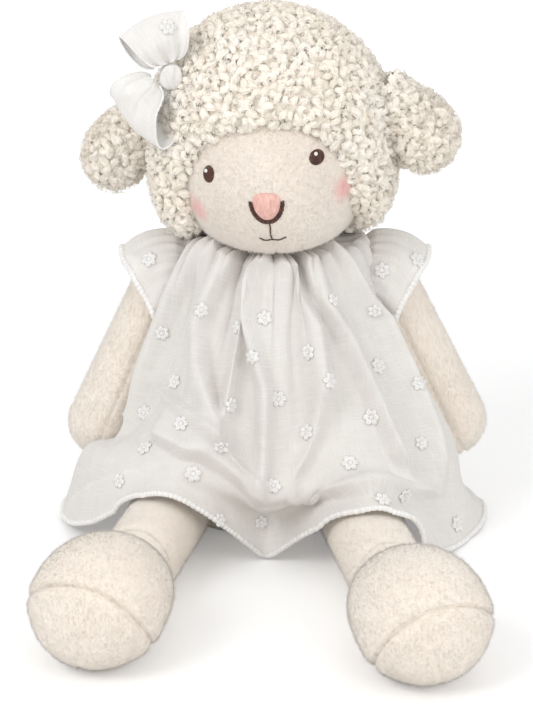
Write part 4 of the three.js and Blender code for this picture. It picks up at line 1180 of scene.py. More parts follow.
def build_face():
    """The face's skin out to just past the hairline, with a dip along each seam, and its pile, combed away
    from the nose."""
    u, v = grid_uv(*GRIDS["face"], ring=True)
    turn = 2 * np.pi * u
    away = hairline(turn) * v * FACE_OVERLAP
    degrees = np.degrees(away)
    direction = from_nose(turn, away)
    dip = np.zeros_like(turn)
    for seam_turn, depth, start, stop in FACE_SEAMS:
        off = np.abs(np.sin((turn - math.radians(seam_turn)) / 2)) * 2 * np.sin(away) * HEAD_HALF[1]
        shown = between(degrees, start, start + FACE_SEAM_FADES[0], stop - FACE_SEAM_FADES[1], stop)
        dip += depth * bell(off, FACE_SEAM_WIDTH) * shown
    points = in_world(direction * (head_radius(direction) - dip)[..., None]).reshape(-1, 3)
    faces, uv = grid(*GRIDS["face"], ring=True)
    face = merged(piece("face_plush", points, faces, LOOKS["face"], uv))
    worn(face, "head", "plush", "face_forehead", "face_cheek_left", "face_cheek_right", "head_stuffing")
    comb = ((direction - NOSE_AXIS) @ HEAD_TURNED.T + FACE_COMB).reshape(-1, 3)
    strands = pile_strands(
        "face_pile", points, faces, comb, LOOKS["face_pile"], SEEDS["face_pile"], FACE_PILE_DENSITY,
        FACE_PILE_LENGTH,
    )
    worn(strands, "head", "plush")


def past_neck(at, degrees):
    """Which places lie further round the head than the neck's zone and some degrees more."""
    return angle_between(in_head(at), NECK_AXIS) > math.radians(NECK_ZONE + degrees)


def build_cap():
    """The wool over the rest of the head: a close ground, locks that hang towards the face round the
    hairline, and wisps."""
    u, v = grid_uv(*GRIDS["cap"], ring=True)
    turn = 2 * np.pi * u
    away = mix(hairline(turn) - math.radians(CAP_OVERHANG), np.pi, v)
    direction = from_nose(turn, away)
    wool = pile_at(direction, away - hairline(turn))
    ground = head_radius(direction) + GROUND_SHARE * wool * ramp(v, 0, CAP_EDGE_SHARE)
    points = in_world(direction * ground[..., None]).reshape(-1, 3)
    faces, uv = grid(*GRIDS["cap"], ring=True)
    cap = merged(piece("fleece_ground", points, faces, LOOKS["ground"], uv))
    worn(cap, "head", "fleece", "fleece_cap")
    at, normal, *_ = spread_points(points, faces, CAP_LOCK_PLACES, SEEDS["cap_places"])
    free = past_neck(at, CAP_LOCKS_FROM_NECK)
    at, normal = at[free], normal[free]
    chosen = thinned_places(at, LOCK_SPACING, SEEDS["cap_gaps"])
    at, normal = at[chosen], normal[chosen]
    direction = in_head(at)
    edge = 1 - ramp(angle_between(direction, NOSE_AXIS), *np.radians(FRINGE_ANGLES))
    hang = unit((NOSE_AXIS - direction) @ HEAD_TURNED.T) * (FRINGE_HANG * edge)[:, None]
    half = at[:, 0] > HEAD_CENTRE[0]
    for k, (name, here) in enumerate((("left", half), ("right", ~half))):
        seed = SEEDS["cap_locks"] + k
        wool = locks("fleece_locks_" + name, at[here], normal[here], LOOKS["fleece"], seed, hang[here])
        worn(wool, "head", "fleece")
    at, normal, *_ = spread_points(points, faces, CAP_WISPS, SEEDS["cap_wisp_places"])
    free = past_neck(at, CAP_WISPS_FROM_NECK)
    at = at[free] + normal[free] * WISP_LIFT
    worn(wisps("fleece_wisps", at, normal[free], LOOKS["fleece"], SEEDS["cap_wisps"]), "head", "fleece")


# Ears


def ear_points(sign, s, turn, shrink, root_width=EAR_ROOT_WIDTH_SHARE, root_rise=EAR_ROOT / EAR_RISE):
    """An arched flap: s runs from seam to tip and turn from edge to edge. Half width and rise grow from the
    root, then close like a circle at the tip."""
    from_middle = 2 * s - 1
    swell = np.sqrt(np.maximum(1 - from_middle**2, 0))
    near = from_middle < 0
    width = np.where(near, mix(root_width, 1, ramp(s, 0, EAR_FULL_WIDTH_SHARE)), swell)
    rise = np.where(near, mix(root_rise, 1, ramp(s, 0, EAR_FULL_RISE_SHARE)), swell)
    along = EAR_LENGTH * s * mix(1, shrink, s * s)
    return np.stack([
        sign * along, EAR_HALF_WIDTH * width * shrink * np.sin(turn), EAR_RISE * rise * shrink * np.cos(turn),
    ], -1)


def ear_in_world(side, points):
    """From the ear's own frame to the toy's: tilted and drooped at its seat on the head's side."""
    up = math.radians(side["seat_up"])
    direction = np.array([side["sign"] * math.cos(up), 0, math.sin(up)])
    seat = direction * (head_radius(direction) + PILE_HEIGHT)
    turned = turn_y(side["sign"] * side["droop"] - HEAD_ROLL) @ turn_x(EAR_TURN)
    return in_world(points @ turned.T + seat)


def outward(side, faces):
    """The left ear's faces in the other order, because its grid is the right one's mirror image."""
    return faces if side["sign"] < 0 else faces[:, ::-1]


def ear_shell(side, outer, inner, start, root=()):
    """A closed flap between two shrunk copies of the ear's arch, joined round its rim."""
    across, along = GRIDS["ear"]
    arch = math.radians(EAR_ARCH)
    u = np.linspace(0, 1, 2 * across + 1)[:-1]
    turn = np.where(u < 0.5, mix(-arch, arch, 2 * u), mix(arch, -arch, 2 * u - 1))
    turns, s = np.meshgrid(turn, np.linspace(start, 1, along + 1), indexing="ij")
    shrink = np.where(u < 0.5, outer, inner)[:, None]
    points = ear_in_world(side, ear_points(side["sign"], s, turns, shrink, *root)).reshape(-1, 3)
    faces, uv = grid(2 * across, along, ring=True)
    return points, outward(side, faces), uv


def build_ears():
    """Each ear: a padded wool ground, a lining inside it, and locks and wisps over its outer side."""
    wool_root = (EAR_WOOL_ROOT_WIDTH, EAR_WOOL_ROOT_RISE)
    u, v = grid_uv(*GRIDS["ear_wool"])
    arch = math.radians(EAR_ARCH + EAR_WOOL_OVERHANG)
    for k, (name, side) in enumerate(SIDES.items()):
        body = "ear_" + name
        points, faces, uv = ear_shell(side, EAR_GROUND_SHARE, EAR_LINING_SHARE, EAR_WOOL_FROM, wool_root)
        ground = merged(piece("ear_ground_" + name, points, faces, LOOKS["ground"], uv))
        worn(ground, body, "fleece", "ear_fleece_" + name)
        points, faces, uv = ear_shell(
            side, EAR_LINING_SHARE + EAR_LINING_OVER, EAR_INNER_SHARE, EAR_LINING_FROM,
        )
        lining = merged(piece("ear_lining_plush_" + name, points, faces, LOOKS["lining"], uv))
        worn(lining, body, "lining", "ear_lining_" + name)
        along, turn = mix(EAR_WOOL_FROM, 1, v), mix(-arch, arch, u)
        flap = ear_points(side["sign"], along, turn, EAR_GROUND_SHARE, *wool_root)
        flap = ear_in_world(side, flap).reshape(-1, 3)
        faces = outward(side, grid(*GRIDS["ear_wool"])[0])
        at, normal, *_ = spread_points(flap, faces, EAR_LOCK_PLACES, SEEDS["ear_places"] + k)
        chosen = thinned_places(at, EAR_LOCK_SPACING, SEEDS["ear_gaps"] + k)
        wool = locks("ear_locks_" + name, at[chosen], normal[chosen], LOOKS["fleece"], SEEDS["ear_locks"] + k)
        worn(wool, body, "fleece")
        at, normal, *_ = spread_points(flap, faces, EAR_WISPS, SEEDS["ear_wisp_places"] + k)
        seed = SEEDS["ear_wisps"] + k
        stray = wisps("ear_wisps_" + name, at + WISP_LIFT * normal, normal, LOOKS["fleece"], seed)
        worn(stray, body, "fleece")


# Arms


def capsule_points(turn, v):
    """A ball, a straight taper and a wider ball along -Z: radius and depth follow a quarter circle at each
    end, and the radius grows evenly between."""
    first = BALL_SHARE
    start_bend = np.clip(v / first, 0, 1) * np.pi / 2
    end_bend = (np.clip((v - 1) / first + 1, 0, 1)) * np.pi / 2
    taper = np.clip((v - first) / (1 - 2 * first), 0, 1)
    down = np.where(v < first, -ARM_RADIUS * np.cos(start_bend), (ARM_LENGTH - HAND_RADIUS) * taper)
    down = down + np.where(v > 1 - first, HAND_RADIUS * np.sin(end_bend), 0)
    radius = np.where(v < first, ARM_RADIUS * np.sin(start_bend), mix(ARM_RADIUS, HAND_RADIUS, taper))
    radius = np.where(v > 1 - first, HAND_RADIUS * np.cos(end_bend), radius)
    return np.stack([radius * np.cos(turn), radius * np.sin(turn), -down], -1)


def shoulder_of(side):
    """The middle of the arm's upper ball."""
    return np.array([SHOULDER_LEAN + side["sign"] * side["reach"], SHOULDER_Y, SHOULDER_HEIGHT])


def arm_turned(side):
    """The matrix that spreads an arm from straight down."""
    return turn_y(-side["sign"] * side["spread"])


def arm_in_world(side, points):
    """From the arm's own frame to the toy's: spread, then moved to the shoulder."""
    return points @ arm_turned(side).T + shoulder_of(side)


def build_arms():
    """Each arm: a padded capsule with a puckered dip along its panel seam, and its pile, combed down."""
    u, v = grid_uv(*GRIDS["arm"], ring=True)
    faces, uv = grid(*GRIDS["arm"], ring=True)
    faces, uv = faces[:, ::-1], uv[:, ::-1]
    local = capsule_points(2 * np.pi * u, v)
    normals = point_normals(local.reshape(-1, 3), faces).reshape(local.shape)
    pucker = 1 + SEAM_PUCKER * np.sin(2 * np.pi * local[..., 2] / SEAM_PUCKER_LENGTH)
    dip = ARM_SEAM_DEPTH * pucker * bell(local[..., 0], ARM_SEAM_WIDTH) * ramp(v, *ARM_SEAM_FROM)
    sewn = local - normals * dip[..., None]
    for k, (name, side) in enumerate(SIDES.items()):
        points = arm_in_world(side, sewn).reshape(-1, 3)
        arm = merged(piece("arm_plush_" + name, points, faces, LOOKS["plush"], uv))
        worn(arm, "arm_" + name, "plush", "arm_outer_" + name, "arm_inner_" + name, "arm_stuffing_" + name)
        down = np.broadcast_to(-UP @ arm_turned(side).T, points.shape)
        strands = pile_strands("arm_pile_" + name, points, faces, down, LOOKS["pile"], SEEDS["arm_pile"] + k)
        worn(strands, "arm_" + name, "plush")


# Legs


def leg_points(turn, station):
    """Rings along -Y: half width times cos turn, and the ring's middle plus half height times sin turn, cut
    off flat at the floor. Widths, heights and middles follow the stations smoothly."""
    table = LEG_STATIONS.copy()
    table[:, 3] = np.where(table[:, 3] > 0, table[:, 3] * FOOT_HALF_HEIGHT - FLOOR_PRESS - HIP_HEIGHT, 0)
    rows = rows_at(table, station)
    half_width = np.maximum(rows[..., 1] * FOOT_HALF_WIDTH, 0)
    half_height = np.maximum(rows[..., 2] * FOOT_HALF_HEIGHT, 0)
    z = np.maximum(rows[..., 3] + half_height * np.sin(turn), -HIP_HEIGHT)
    return np.stack([half_width * np.cos(turn), -rows[..., 0] * LEG_LENGTH, z], -1)


def leg_in_world(side, points):
    """From the leg's own frame to the toy's: splayed, then moved to the hip."""
    hip = np.array([side["sign"] * HIP_REACH, side["hip_y"], HIP_HEIGHT])
    return points @ turn_z(side["sign"] * side["splay"]).T + hip


def toe_seam(side, points):
    """Height over the toe seam's plane and distance beside the sole's seam, of points in the leg's frame."""
    roll, pitch = math.radians(side["roll"]), math.radians(TOE_SEAM_PITCH)
    up = np.array([math.sin(roll), math.cos(roll) * math.sin(pitch), math.cos(roll) * math.cos(pitch)])
    beside = np.array([math.cos(roll), 0, -math.sin(roll)])
    level = up @ np.array([0, -TOE_SEAM_ALONG, TOE_SEAM_HEIGHT - side["seam_down"] - HIP_HEIGHT])
    aside = points @ beside
    return points @ up - level + TOE_SEAM_BEND * aside**2, aside


def leg_relief(side, local):
    """Sewn and slack shapes on the leg: the toe seam's groove with a soft swell to both sides, the sole's
    seam below it, and creases with a lip where the ankle folds, all of them bells."""
    above, beside = toe_seam(side, local)
    along = -local[..., 1]
    swell = bell(above - TOE_SWELL_OFF, TOE_SWELL_WIDTH) + bell(above + TOE_SWELL_OFF, TOE_SWELL_WIDTH)
    relief = TOE_SWELL * swell - TOE_GROOVE * bell(above, TOE_GROOVE_WIDTH)
    relief -= SOLE_GROOVE * bell(beside, SOLE_GROOVE_WIDTH) * (1 - ramp(above, *SOLE_GROOVE_TOP))
    relief *= ramp(along, *FOOT_FROM)
    top = ramp(local[..., 2], *CREASE_HEIGHTS)
    for place, slope, depth, width in ANKLE_CREASES:
        off = along - place - side["sign"] * slope * local[..., 0] + CREASE_BEND * local[..., 2] ** 2
        lip = CREASE_LIP * bell(off - CREASE_LIP_OFF * width, CREASE_LIP_WIDTH * width)
        relief -= top * depth * (bell(off, width) - lip)
    return relief


def leg_spacing(v):
    """Steps drawn closer together towards the toe: v plus a share of v times 1 - v."""
    return v + TOE_CROWDING * v * (1 - v)


def build_legs():
    """Each leg: a padded tube and foot with its seams and creases, and its pile, combed towards the hip and
    down."""
    u, v = grid_uv(*GRIDS["leg"], ring=True)
    faces, uv = grid(*GRIDS["leg"], ring=True)
    spine = leg_points(2 * np.pi * u, leg_spacing(v) * (len(LEG_STATIONS) - 1))
    normals = point_normals(spine.reshape(-1, 3), faces).reshape(spine.shape)
    for k, (name, side) in enumerate(SIDES.items()):
        body = "leg_" + name
        local = spine + normals * leg_relief(side, spine)[..., None]
        local[..., 2] = np.maximum(local[..., 2], -HIP_HEIGHT)
        points = leg_in_world(side, local).reshape(-1, 3)
        leg = merged(piece("leg_plush_" + name, points, faces, LOOKS["plush"], uv))
        nodes = ("leg_skin_", "foot_upper_", "sole_outer_", "sole_inner_", "leg_stuffing_")
        worn(leg, body, "plush", *(node + name for node in nodes))
        above, _ = toe_seam(side, local)
        comb = np.stack([0 * above, 0 * above - 1, -FOOT_COMB_DOWN - SOLE_COMB_DOWN * (above < 0)], -1)
        comb = (comb @ turn_z(side["sign"] * side["splay"]).T).reshape(-1, 3)
        on_foot = -local.reshape(-1, 3)[faces[:, 0], 1] > FOOT_PILE_FROM
        parts = (("foot", on_foot, PILE_DENSITY), ("shin", ~on_foot, SHIN_PILE_DENSITY))
        for part, here, density in parts:
            seed = SEEDS["leg_pile"] + k + (2 if part == "foot" else 0)
            strands = pile_strands(
                f"{part}_pile_{name}", points, faces[here], comb, LOOKS["pile"], seed, density,
            )
            worn(strands, body, "plush")


# Eyes, nose and mouth


def dome(v, rise, power, across):
    """Height of a stitched dome: it falls from the middle with a power of the way out, and one wave for each
    stitch across it ridges it, less and less towards the rim."""
    ridge = STITCH_RISE * np.cos(2 * np.pi * across) * (1 - v**STITCH_FADE)
    return rise * np.sqrt(np.maximum(1 - v**power, 0)) + ridge


def stitched(name, node, size, aim, right, up, height, look, slot):
    """A patch of stitches on the face from a grid of places right and up of its aim, and their height."""
    faces, uv = grid(*size, ring=True)
    points = on_face(*aim, right, up, height).reshape(-1, 3)
    patch = merged(piece(name, points, faces[:, ::-1], LOOKS[look], uv[:, ::-1]))
    worn(patch, "head", slot, node)


def satin_oval(name, node, aim, half, tilt, rise, look, slot, lift=0.0):
    """A low oval dome of stitches, tilted on the face."""
    size = GRIDS["stitches"]
    u, v = grid_uv(*size, ring=True)
    right, up = half[0] * np.cos(2 * np.pi * u) * v, half[1] * np.sin(2 * np.pi * u) * v
    spacing, lean = EYE_STITCH
    height = dome(v, rise, EYE_DOME, (right + lean * up) / spacing) + lift
    stitched(name, node, size, aim, *turned_flat(right, up, tilt), height, look, slot)


def face_thread(aim, right, up, radius):
    """A twisted thread laid on the face along points right and up of the aim: its radius swells and shrinks
    along the twist and falls off at the ends."""
    path = on_face(*aim, right, up, np.full_like(right, radius * THREAD_LIFT))[None]
    s = np.arange(len(right))
    from_end = np.minimum(s, s[::-1]) / THREAD_END_STEPS
    thick = radius * (1 + THREAD_TWIST * np.cos(s * THREAD_TWIST_STEP))
    thick = thick * np.sqrt(np.clip(from_end, THREAD_END_SHARE, 1))
    return tube(path, thick[None], THREAD_SIDES, up=NOSE_AXIS @ HEAD_TURNED.T)


def nose_edge(turn, grow):
    """The nose's outline, grown by some millimetres: a superellipse that narrows towards its lower end, as
    millimetres right and up of its aim."""
    c, s = np.cos(turn), np.sin(turn)
    power = 2 / NOSE_SQUARENESS
    narrow = 1 - NOSE_TAPER * ((1 - s) / 2) ** NOSE_TAPER_POWER
    right = (NOSE_HALF[0] * narrow + grow) * np.sign(c) * np.abs(c) ** power
    up = (NOSE_HALF[1] + grow) * np.sign(s) * np.abs(s) ** power
    return turned_flat(right, up, NOSE_TILT)


def sew(name, node, threads):
    """Brown threads on the face as one piece."""
    points, faces, uv = joined(threads)
    worn(piece(name, points, faces, LOOKS["brown"], uv), "head", "brown_thread", node)


def build_features():
    """Eyes with their glints, the nose with its edge, and the mouth's threads."""
    for name, across, down, half, tilt in EYES:
        satin_oval("eye_stitch_" + name, "eye_" + name, (across, down), half, tilt, EYE_RISE, "brown",
                   "brown_thread")
        glint = (across - GLINT_OFF[0], down - GLINT_OFF[1])
        satin_oval("eye_light_" + name, "eye_glint_" + name, glint, GLINT_HALF, 0, GLINT_RISE, "white",
                   "white_thread", GLINT_LIFT)
    u, v = grid_uv(*GRIDS["nose"], ring=True)
    right, up = nose_edge(2 * np.pi * u, 0)
    height = dome(v, NOSE_RISE, NOSE_DOME, right * v / NOSE_STITCH)
    stitched("nose_stitch", "nose_pad", GRIDS["nose"], NOSE_AIM, right * v, up * v, height, "pink",
             "pink_thread")
    start = math.radians(OUTLINE_FROM)
    turn = np.linspace(np.pi + start, 2 * np.pi - start, OUTLINE_STEPS)
    edges = [face_thread(NOSE_AIM, *nose_edge(turn, grow), THREAD) for grow in OUTLINE_STRANDS]
    sew("nose_edge_stitch", "nose_outline", edges)
    share = np.linspace(0, 1, MOUTH_STEPS)
    line = np.stack([np.interp(share, (0, 1), ends) for ends in zip(*PHILTRUM_ENDS)])
    line[0] += PHILTRUM_SWAY * np.sin(PHILTRUM_WAVES * share)
    lip = np.stack([np.interp(share, (0, 0.5, 1), places) for places in zip(*MOUTH_PLACES)])
    lip[1] += MOUTH_BEND * np.sin(2 * np.pi * share) ** 2
    threads = []
    for across, down in (line, lip):
        right, up = np.radians(across) * HEAD_HALF[1], -np.radians(down) * HEAD_HALF[1]
        threads.append(face_thread((0, 0), right, up, MOUTH_THREAD))
    sew("mouth_thread", "mouth_stitch", threads)


# Bow


def build_knot():
    """The bow's knot: an oval with creases round it, radius sin to a power times a wave round the turn."""
    u, v = grid_uv(*GRIDS["knot"], ring=True)
    turn = 2 * np.pi * u
    sway, drift = KNOT_CREASE_SWAY
    crease = KNOT_CREASE * np.cos(KNOT_CREASES * turn + sway * np.sin(drift * v)) * np.sin(np.pi * v)
    ring = np.sin(np.pi * v) ** KNOT_ROUNDNESS * (1 + crease)
    oval = np.stack([ring * np.cos(turn), ring * np.sin(turn), -np.cos(np.pi * v)], -1)
    points = in_world(BOW_PLACE + BOW_KNOT * KNOT_SHARES * oval).reshape(-1, 3)
    faces, uv = grid(*GRIDS["knot"], ring=True)
    knot = merged(piece("bow_knot_cloth", points, faces, LOOKS["voile_bow"], uv * KNOT_WEAVE))
    worn(knot, "head", "voile", "bow_knot")


def bow_loop_points(loop, u, v):
    """A loop of doubled cloth: v runs out from the knot and back, so reach, width and puff follow its sine,
    and the front and back layers part by its cosine. Rays and crumples stand over the cloth."""
    degrees, lean, twist = (math.radians(x) for x in (loop["degrees"], BOW_LEAN, loop["twist"]))
    flat = np.array([math.cos(degrees), 0, math.sin(degrees)])
    out = flat * math.cos(lean) + np.array([0, math.sin(lean), 0])
    beside, ahead = np.array([-flat[2], 0, flat[0]]), np.array([0, -1.0, 0])
    wide = beside * math.cos(twist) + ahead * math.sin(twist)
    over = ahead * math.cos(twist) - beside * math.sin(twist)
    side, opening, layers = mix(-1, 1, u), np.sin(np.pi * v), np.cos(np.pi * v)
    half = mix(BOW_PINCH, loop["half_width"], opening**BOW_FULLNESS)
    reach = BOW_KNOT[2] - BOW_TUCK + loop["length"] * opening * (1 - BOW_END_BEND * side**2)
    puff = loop["puff"] * mix(BOW_ROOT_PUFF, 1, ramp(opening, 0, BOW_PUFF_FULL))
    layer = puff * layers * (1 - BOW_EDGE_PUFF * side**2)
    rays = sum(height * np.cos(waves * side + loop["seed"] * turn) for height, waves, turn in BOW_RAYS)
    height, across, along, turn = BOW_CRUMPLE
    crumple = height * np.cos(across * side + along * opening + loop["seed"] * turn)
    crease = rays * (1 - BOW_RAY_LOSS * ramp(opening, *BOW_RAY_FADE)) + crumple
    ways = (
        (out, reach), (wide, half * side - loop["shift"] * layers), (over, layer + crease),
        (ahead, loop["forward"] * np.sqrt(opening)),
    )
    return in_world(BOW_PLACE + sum(way * far[..., None] for way, far in ways))


def build_bow():
    """The knot, and two loops with a thread along their edges and a flower on the upper one."""
    build_knot()
    across, along = GRIDS["bow"]
    u, v = grid_uv(across, along)
    faces, uv = grid(across, along)
    for name, shape in BOW_LOOPS.items():
        points = bow_loop_points(shape, u, v)
        edges = points[[0, -1]]
        points = points.reshape(-1, 3)
        loop = piece(f"bow_{name}_cloth", points, faces, LOOKS["voile_bow"], uv * BOW_WEAVE)
        lump = BOW_HEM_LUMP * np.cos(np.arange(along + 1) * BOW_HEM_LUMP_STEP)
        hem_points, hem_faces, hem_uv = tube(
            edges, np.broadcast_to(BOW_HEM_RADIUS + lump, edges.shape[:2]), BOW_HEM_SIDES,
        )
        trims = [piece(f"bow_{name}_hem", hem_points, hem_faces, LOOKS["white"], hem_uv)]
        if name == "upper":
            sewn, sewn_faces, sewn_uv = sewn_flowers(points, faces, BOW_FLOWER_PIXELS, SEEDS["bow_flower"])
            trims.append(piece("bow_flower", sewn, sewn_faces, LOOKS["white"], sewn_uv))
        worn(loop, "head", "voile", "bow_loop_" + name)
        for trim in trims:
            worn(trim, "head", "voile")


# Dress


def round_value(values, degrees):
    """A ring's value at turns round the dress, by the cubic above, closed all the way round."""
    turns = np.concatenate([DRESS_TURNS[-2:] - 360, DRESS_TURNS, DRESS_TURNS[:3] + 360])
    wrapped = np.concatenate([values[-2:], values, values[:3]])
    at = np.mod(degrees, 360)
    i = np.searchsorted(turns, at, side="right") - 1
    share = (at - turns[i]) / (turns[i + 1] - turns[i])
    return through(wrapped[i - 1], wrapped[i], wrapped[i + 1], wrapped[i + 2], share)


def leg_top_under(x, y, side):
    """How high a leg stands under a point: a half circle across the leg, with room for the cloth."""
    splay = math.radians(side["splay"])
    across = (x * side["sign"] - HIP_REACH) * math.cos(splay) + (y - side["hip_y"]) * math.sin(splay)
    share = across / (LEG_RADIUS + LEG_COVER_SIDE)
    top = HIP_HEIGHT + (LEG_RADIUS + LEG_COVER) * np.sqrt(np.maximum(1 - share**2, 0))
    return np.where((np.abs(share) > 1) | (y > side["hip_y"] + LEG_RADIUS), 0, top)


def legs_top_under(x, y):
    """How high either leg stands under a point."""
    return np.maximum(leg_top_under(x, y, SIDES["left"]), leg_top_under(x, y, SIDES["right"]))


def neck_depth(turn):
    """How deep the neckline's oval is towards a turn: in front, then behind."""
    return np.where(np.cos(turn) > 0, NECK_FRONT, NECK_BACK)


def dress_surface(degrees, v):
    """The dress at turns from the front and places from neckline (0) to hem (1). Reach and height run
    smoothly through the rings of shares, a wave of gathers is added to the reach, and legs and floor lift
    it."""
    turn = np.radians(degrees)
    side = np.abs(np.sin(turn))
    neck = 1 / np.hypot(np.sin(turn) / NECK_HALF_WIDTH, np.cos(turn) / neck_depth(turn))
    reaches = np.stack([neck, *(round_value(row, degrees) * SKIRT_REACH for row in DRESS_REACH)])
    drops = (round_value(row, degrees) * DRESS_HEIGHT for row in DRESS_HEIGHTS)
    heights = np.stack([NECK_HEIGHT + 0 * turn, *drops])
    place = v * len(DRESS_REACH)
    reach, height = rows_at(reaches, place).T, rows_at(heights, place).T
    gather = rows_at(GATHER_SHARES, place)[None, :]
    turn, side = turn[:, None], side[:, None]
    wave = np.cos(GATHER_COUNT * turn + np.sin(GATHER_DRIFT * turn))
    reach = reach + GATHER_DEPTH * gather * (1 - side**GATHER_SIDE_POWER) * wave
    x, y = lean_at(np.maximum(height, 0)) + reach * np.sin(turn), -reach * np.cos(turn)
    return np.stack([x, y, np.maximum(np.maximum(height, legs_top_under(x, y)), CLOTH_LIFT)], -1)


def pleat_relief(turn, v):
    """Rounded ridges with sharp valleys, the cosine to a power, each with its own height and its own place
    where it has faded, and a fine crumple below them."""
    drifts = (amount * np.sin(waves * turn + start) for amount, waves, start in PLEAT_DRIFTS)
    phase = PLEATS / 2 * turn + sum(drifts)
    rng = np.random.default_rng(SEEDS["pleats"])
    number = np.mod(np.floor(phase / np.pi + 0.5).astype(int), PLEATS)
    tall = rng.uniform(*PLEAT_HEIGHTS, PLEATS)[number]
    fade = rng.uniform(*PLEAT_FADES, PLEATS)[number]
    ridge = tall * (np.abs(np.cos(phase)) ** PLEAT_ROUNDNESS - PLEAT_VALLEY) - PLEAT_SINK
    sway, drift = CRUMPLE_SWAY
    fine = np.cos(CRUMPLE_WAVES[0] * turn + CRUMPLE_WAVES[1] * v + sway * np.sin(drift * turn))
    relief = PLEAT_DEPTH * ridge * (1 - ramp(v, PLEAT_FADE_FROM, fade))
    return relief + CRUMPLE_HEIGHT * fine * between(v, *CRUMPLE_PLACES)


def fold_relief(degrees, v, points):
    """Each fold is a bell across its crest, of one width to either side, between its two ends."""
    relief = 0
    reach = np.hypot(points[..., 0], points[..., 1])
    for nodes, to_right, to_left, height in DRESS_FOLDS:
        turns, places = zip(*nodes)
        off = np.radians(half_turned(degrees[:, None] - np.interp(v, places, turns))) * reach
        shown = between(v, *(places[0] + x for x in FOLD_START), *(places[-1] + x for x in FOLD_END))
        relief = relief + FOLD_GAIN * height * bell(off, np.where(off < 0, to_right, to_left)) * shown
    return relief


def lap_edge_relief(degrees, v):
    """The upper skirt swells towards the edge where it lies over the lower, and drops there."""
    turns, places = zip(*LAP_EDGE)
    signed = half_turned(degrees)
    edge = np.interp(signed, turns, places)[:, None]
    ends = between(signed, *(turns[0] + x for x in LAP_EDGE_START), *(turns[-1] + x for x in LAP_EDGE_END))
    dent = 1 - LAP_EDGE_DENT * bell(signed - LAP_EDGE_DENT_TURN, LAP_EDGE_DENT_WIDTH)
    swell = between(
        v, edge - LAP_EDGE_SWELL, edge - LAP_EDGE_DROP, edge - LAP_EDGE_DROP / 2, edge + LAP_EDGE_DROP,
    )
    return LAP_EDGE_HEIGHT * swell * (ends * dent)[:, None]


def dress_relief(degrees, v, points):
    """Height of pleats, folds, the lap's edge and ripples over the smooth dress, added up."""
    turn, v = np.radians(degrees)[:, None], v[None, :]
    relief = pleat_relief(turn, v) + fold_relief(degrees, v, points) + lap_edge_relief(degrees, v)
    for across, down, amount, bend in DRESS_RIPPLES:
        bent = bend * np.sin(RIPPLE_BEND_WAVES[0] * turn + RIPPLE_BEND_WAVES[1] * v)
        relief = relief + amount * np.sin(across * turn + down * v + bent) * ramp(v, *RIPPLE_FROM)
    return relief


def grid_normals(points):
    """Normals of a grid of points, from the cross of its two gradients."""
    return unit(np.cross(np.gradient(points, axis=1), np.gradient(points, axis=0)))


def clear_of_arms(points, room):
    """How deep points lie inside an arm's capsule, grown by the room: above 0 is inside."""
    depth = np.full(points.shape[:-1], -1e9)
    for side in SIDES.values():
        local = (points - shoulder_of(side)) @ arm_turned(side)
        down = np.clip(-local[..., 2], 0, ARM_LENGTH - HAND_RADIUS)
        radius = mix(ARM_RADIUS, HAND_RADIUS, down / (ARM_LENGTH - HAND_RADIUS)) + room
        depth = np.maximum(depth, radius - np.linalg.norm(local + down[..., None] * UP, axis=-1))
    return depth


def pressed_by_arms(points, room):
    """Below the armholes the cloth gives way to the arms: points inside one move towards the torso's axis by
    their depth under its skin, a few times over."""
    share = 1 - ramp(points[..., 2], ARMHOLE_BOTTOM - ARMHOLE_FADE, ARMHOLE_BOTTOM + ARMHOLE_FADE)
    for _ in range(PRESS_ROUNDS):
        depth = np.maximum(clear_of_arms(points, room), 0) * share
        inward = np.stack([lean_at(points[..., 2]) - points[..., 0], -points[..., 1], 0 * depth], -1)
        points = points + unit(inward) * depth[..., None]
    return points


def lap_share(points, side):
    """How far a point has passed the plane where the skirt starts to follow a leg."""
    start, end = lap_ends(side)
    return (points - start) @ (end - start) / ((end - start) @ (end - start))


def lap_ends(side):
    """Where the skirt starts to follow a leg and where it wholly does, in millimetres."""
    mirror = np.array([side["sign"], 1, 1])
    start = LAP_START * mirror
    return start, start + unit(LAP_WAY * mirror) * LAP_LENGTH


def split_by_lap(points, faces):
    """Masks over the faces: those that reach past the left lap's plane, past the right's, and the rest."""
    left = (lap_share(points, SIDES["left"])[faces] > 0).any(1)
    right = (lap_share(points, SIDES["right"])[faces] > 0).any(1) & ~left
    return {"left": left, "right": right, "body": ~left & ~right}


def ride_by_lap(name, points, faces, uv, look, normals=None):
    """Makes a piece of the dress as three: what rides on the torso, and a lap over each leg, left where it
    is.
    """
    made = {}
    for part, mask in split_by_lap(points, faces).items():
        if not mask.any():
            continue
        used, own = np.unique(faces[mask], return_inverse=True)
        own = own.reshape(-1, faces.shape[1])
        kept = None if normals is None else normals[used]
        made[part] = piece(f"{name}_{part}", points[used], own, look, uv[mask], kept)
        if part == "body":
            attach(made[part], "torso")
        else:
            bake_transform(made[part])
    return made


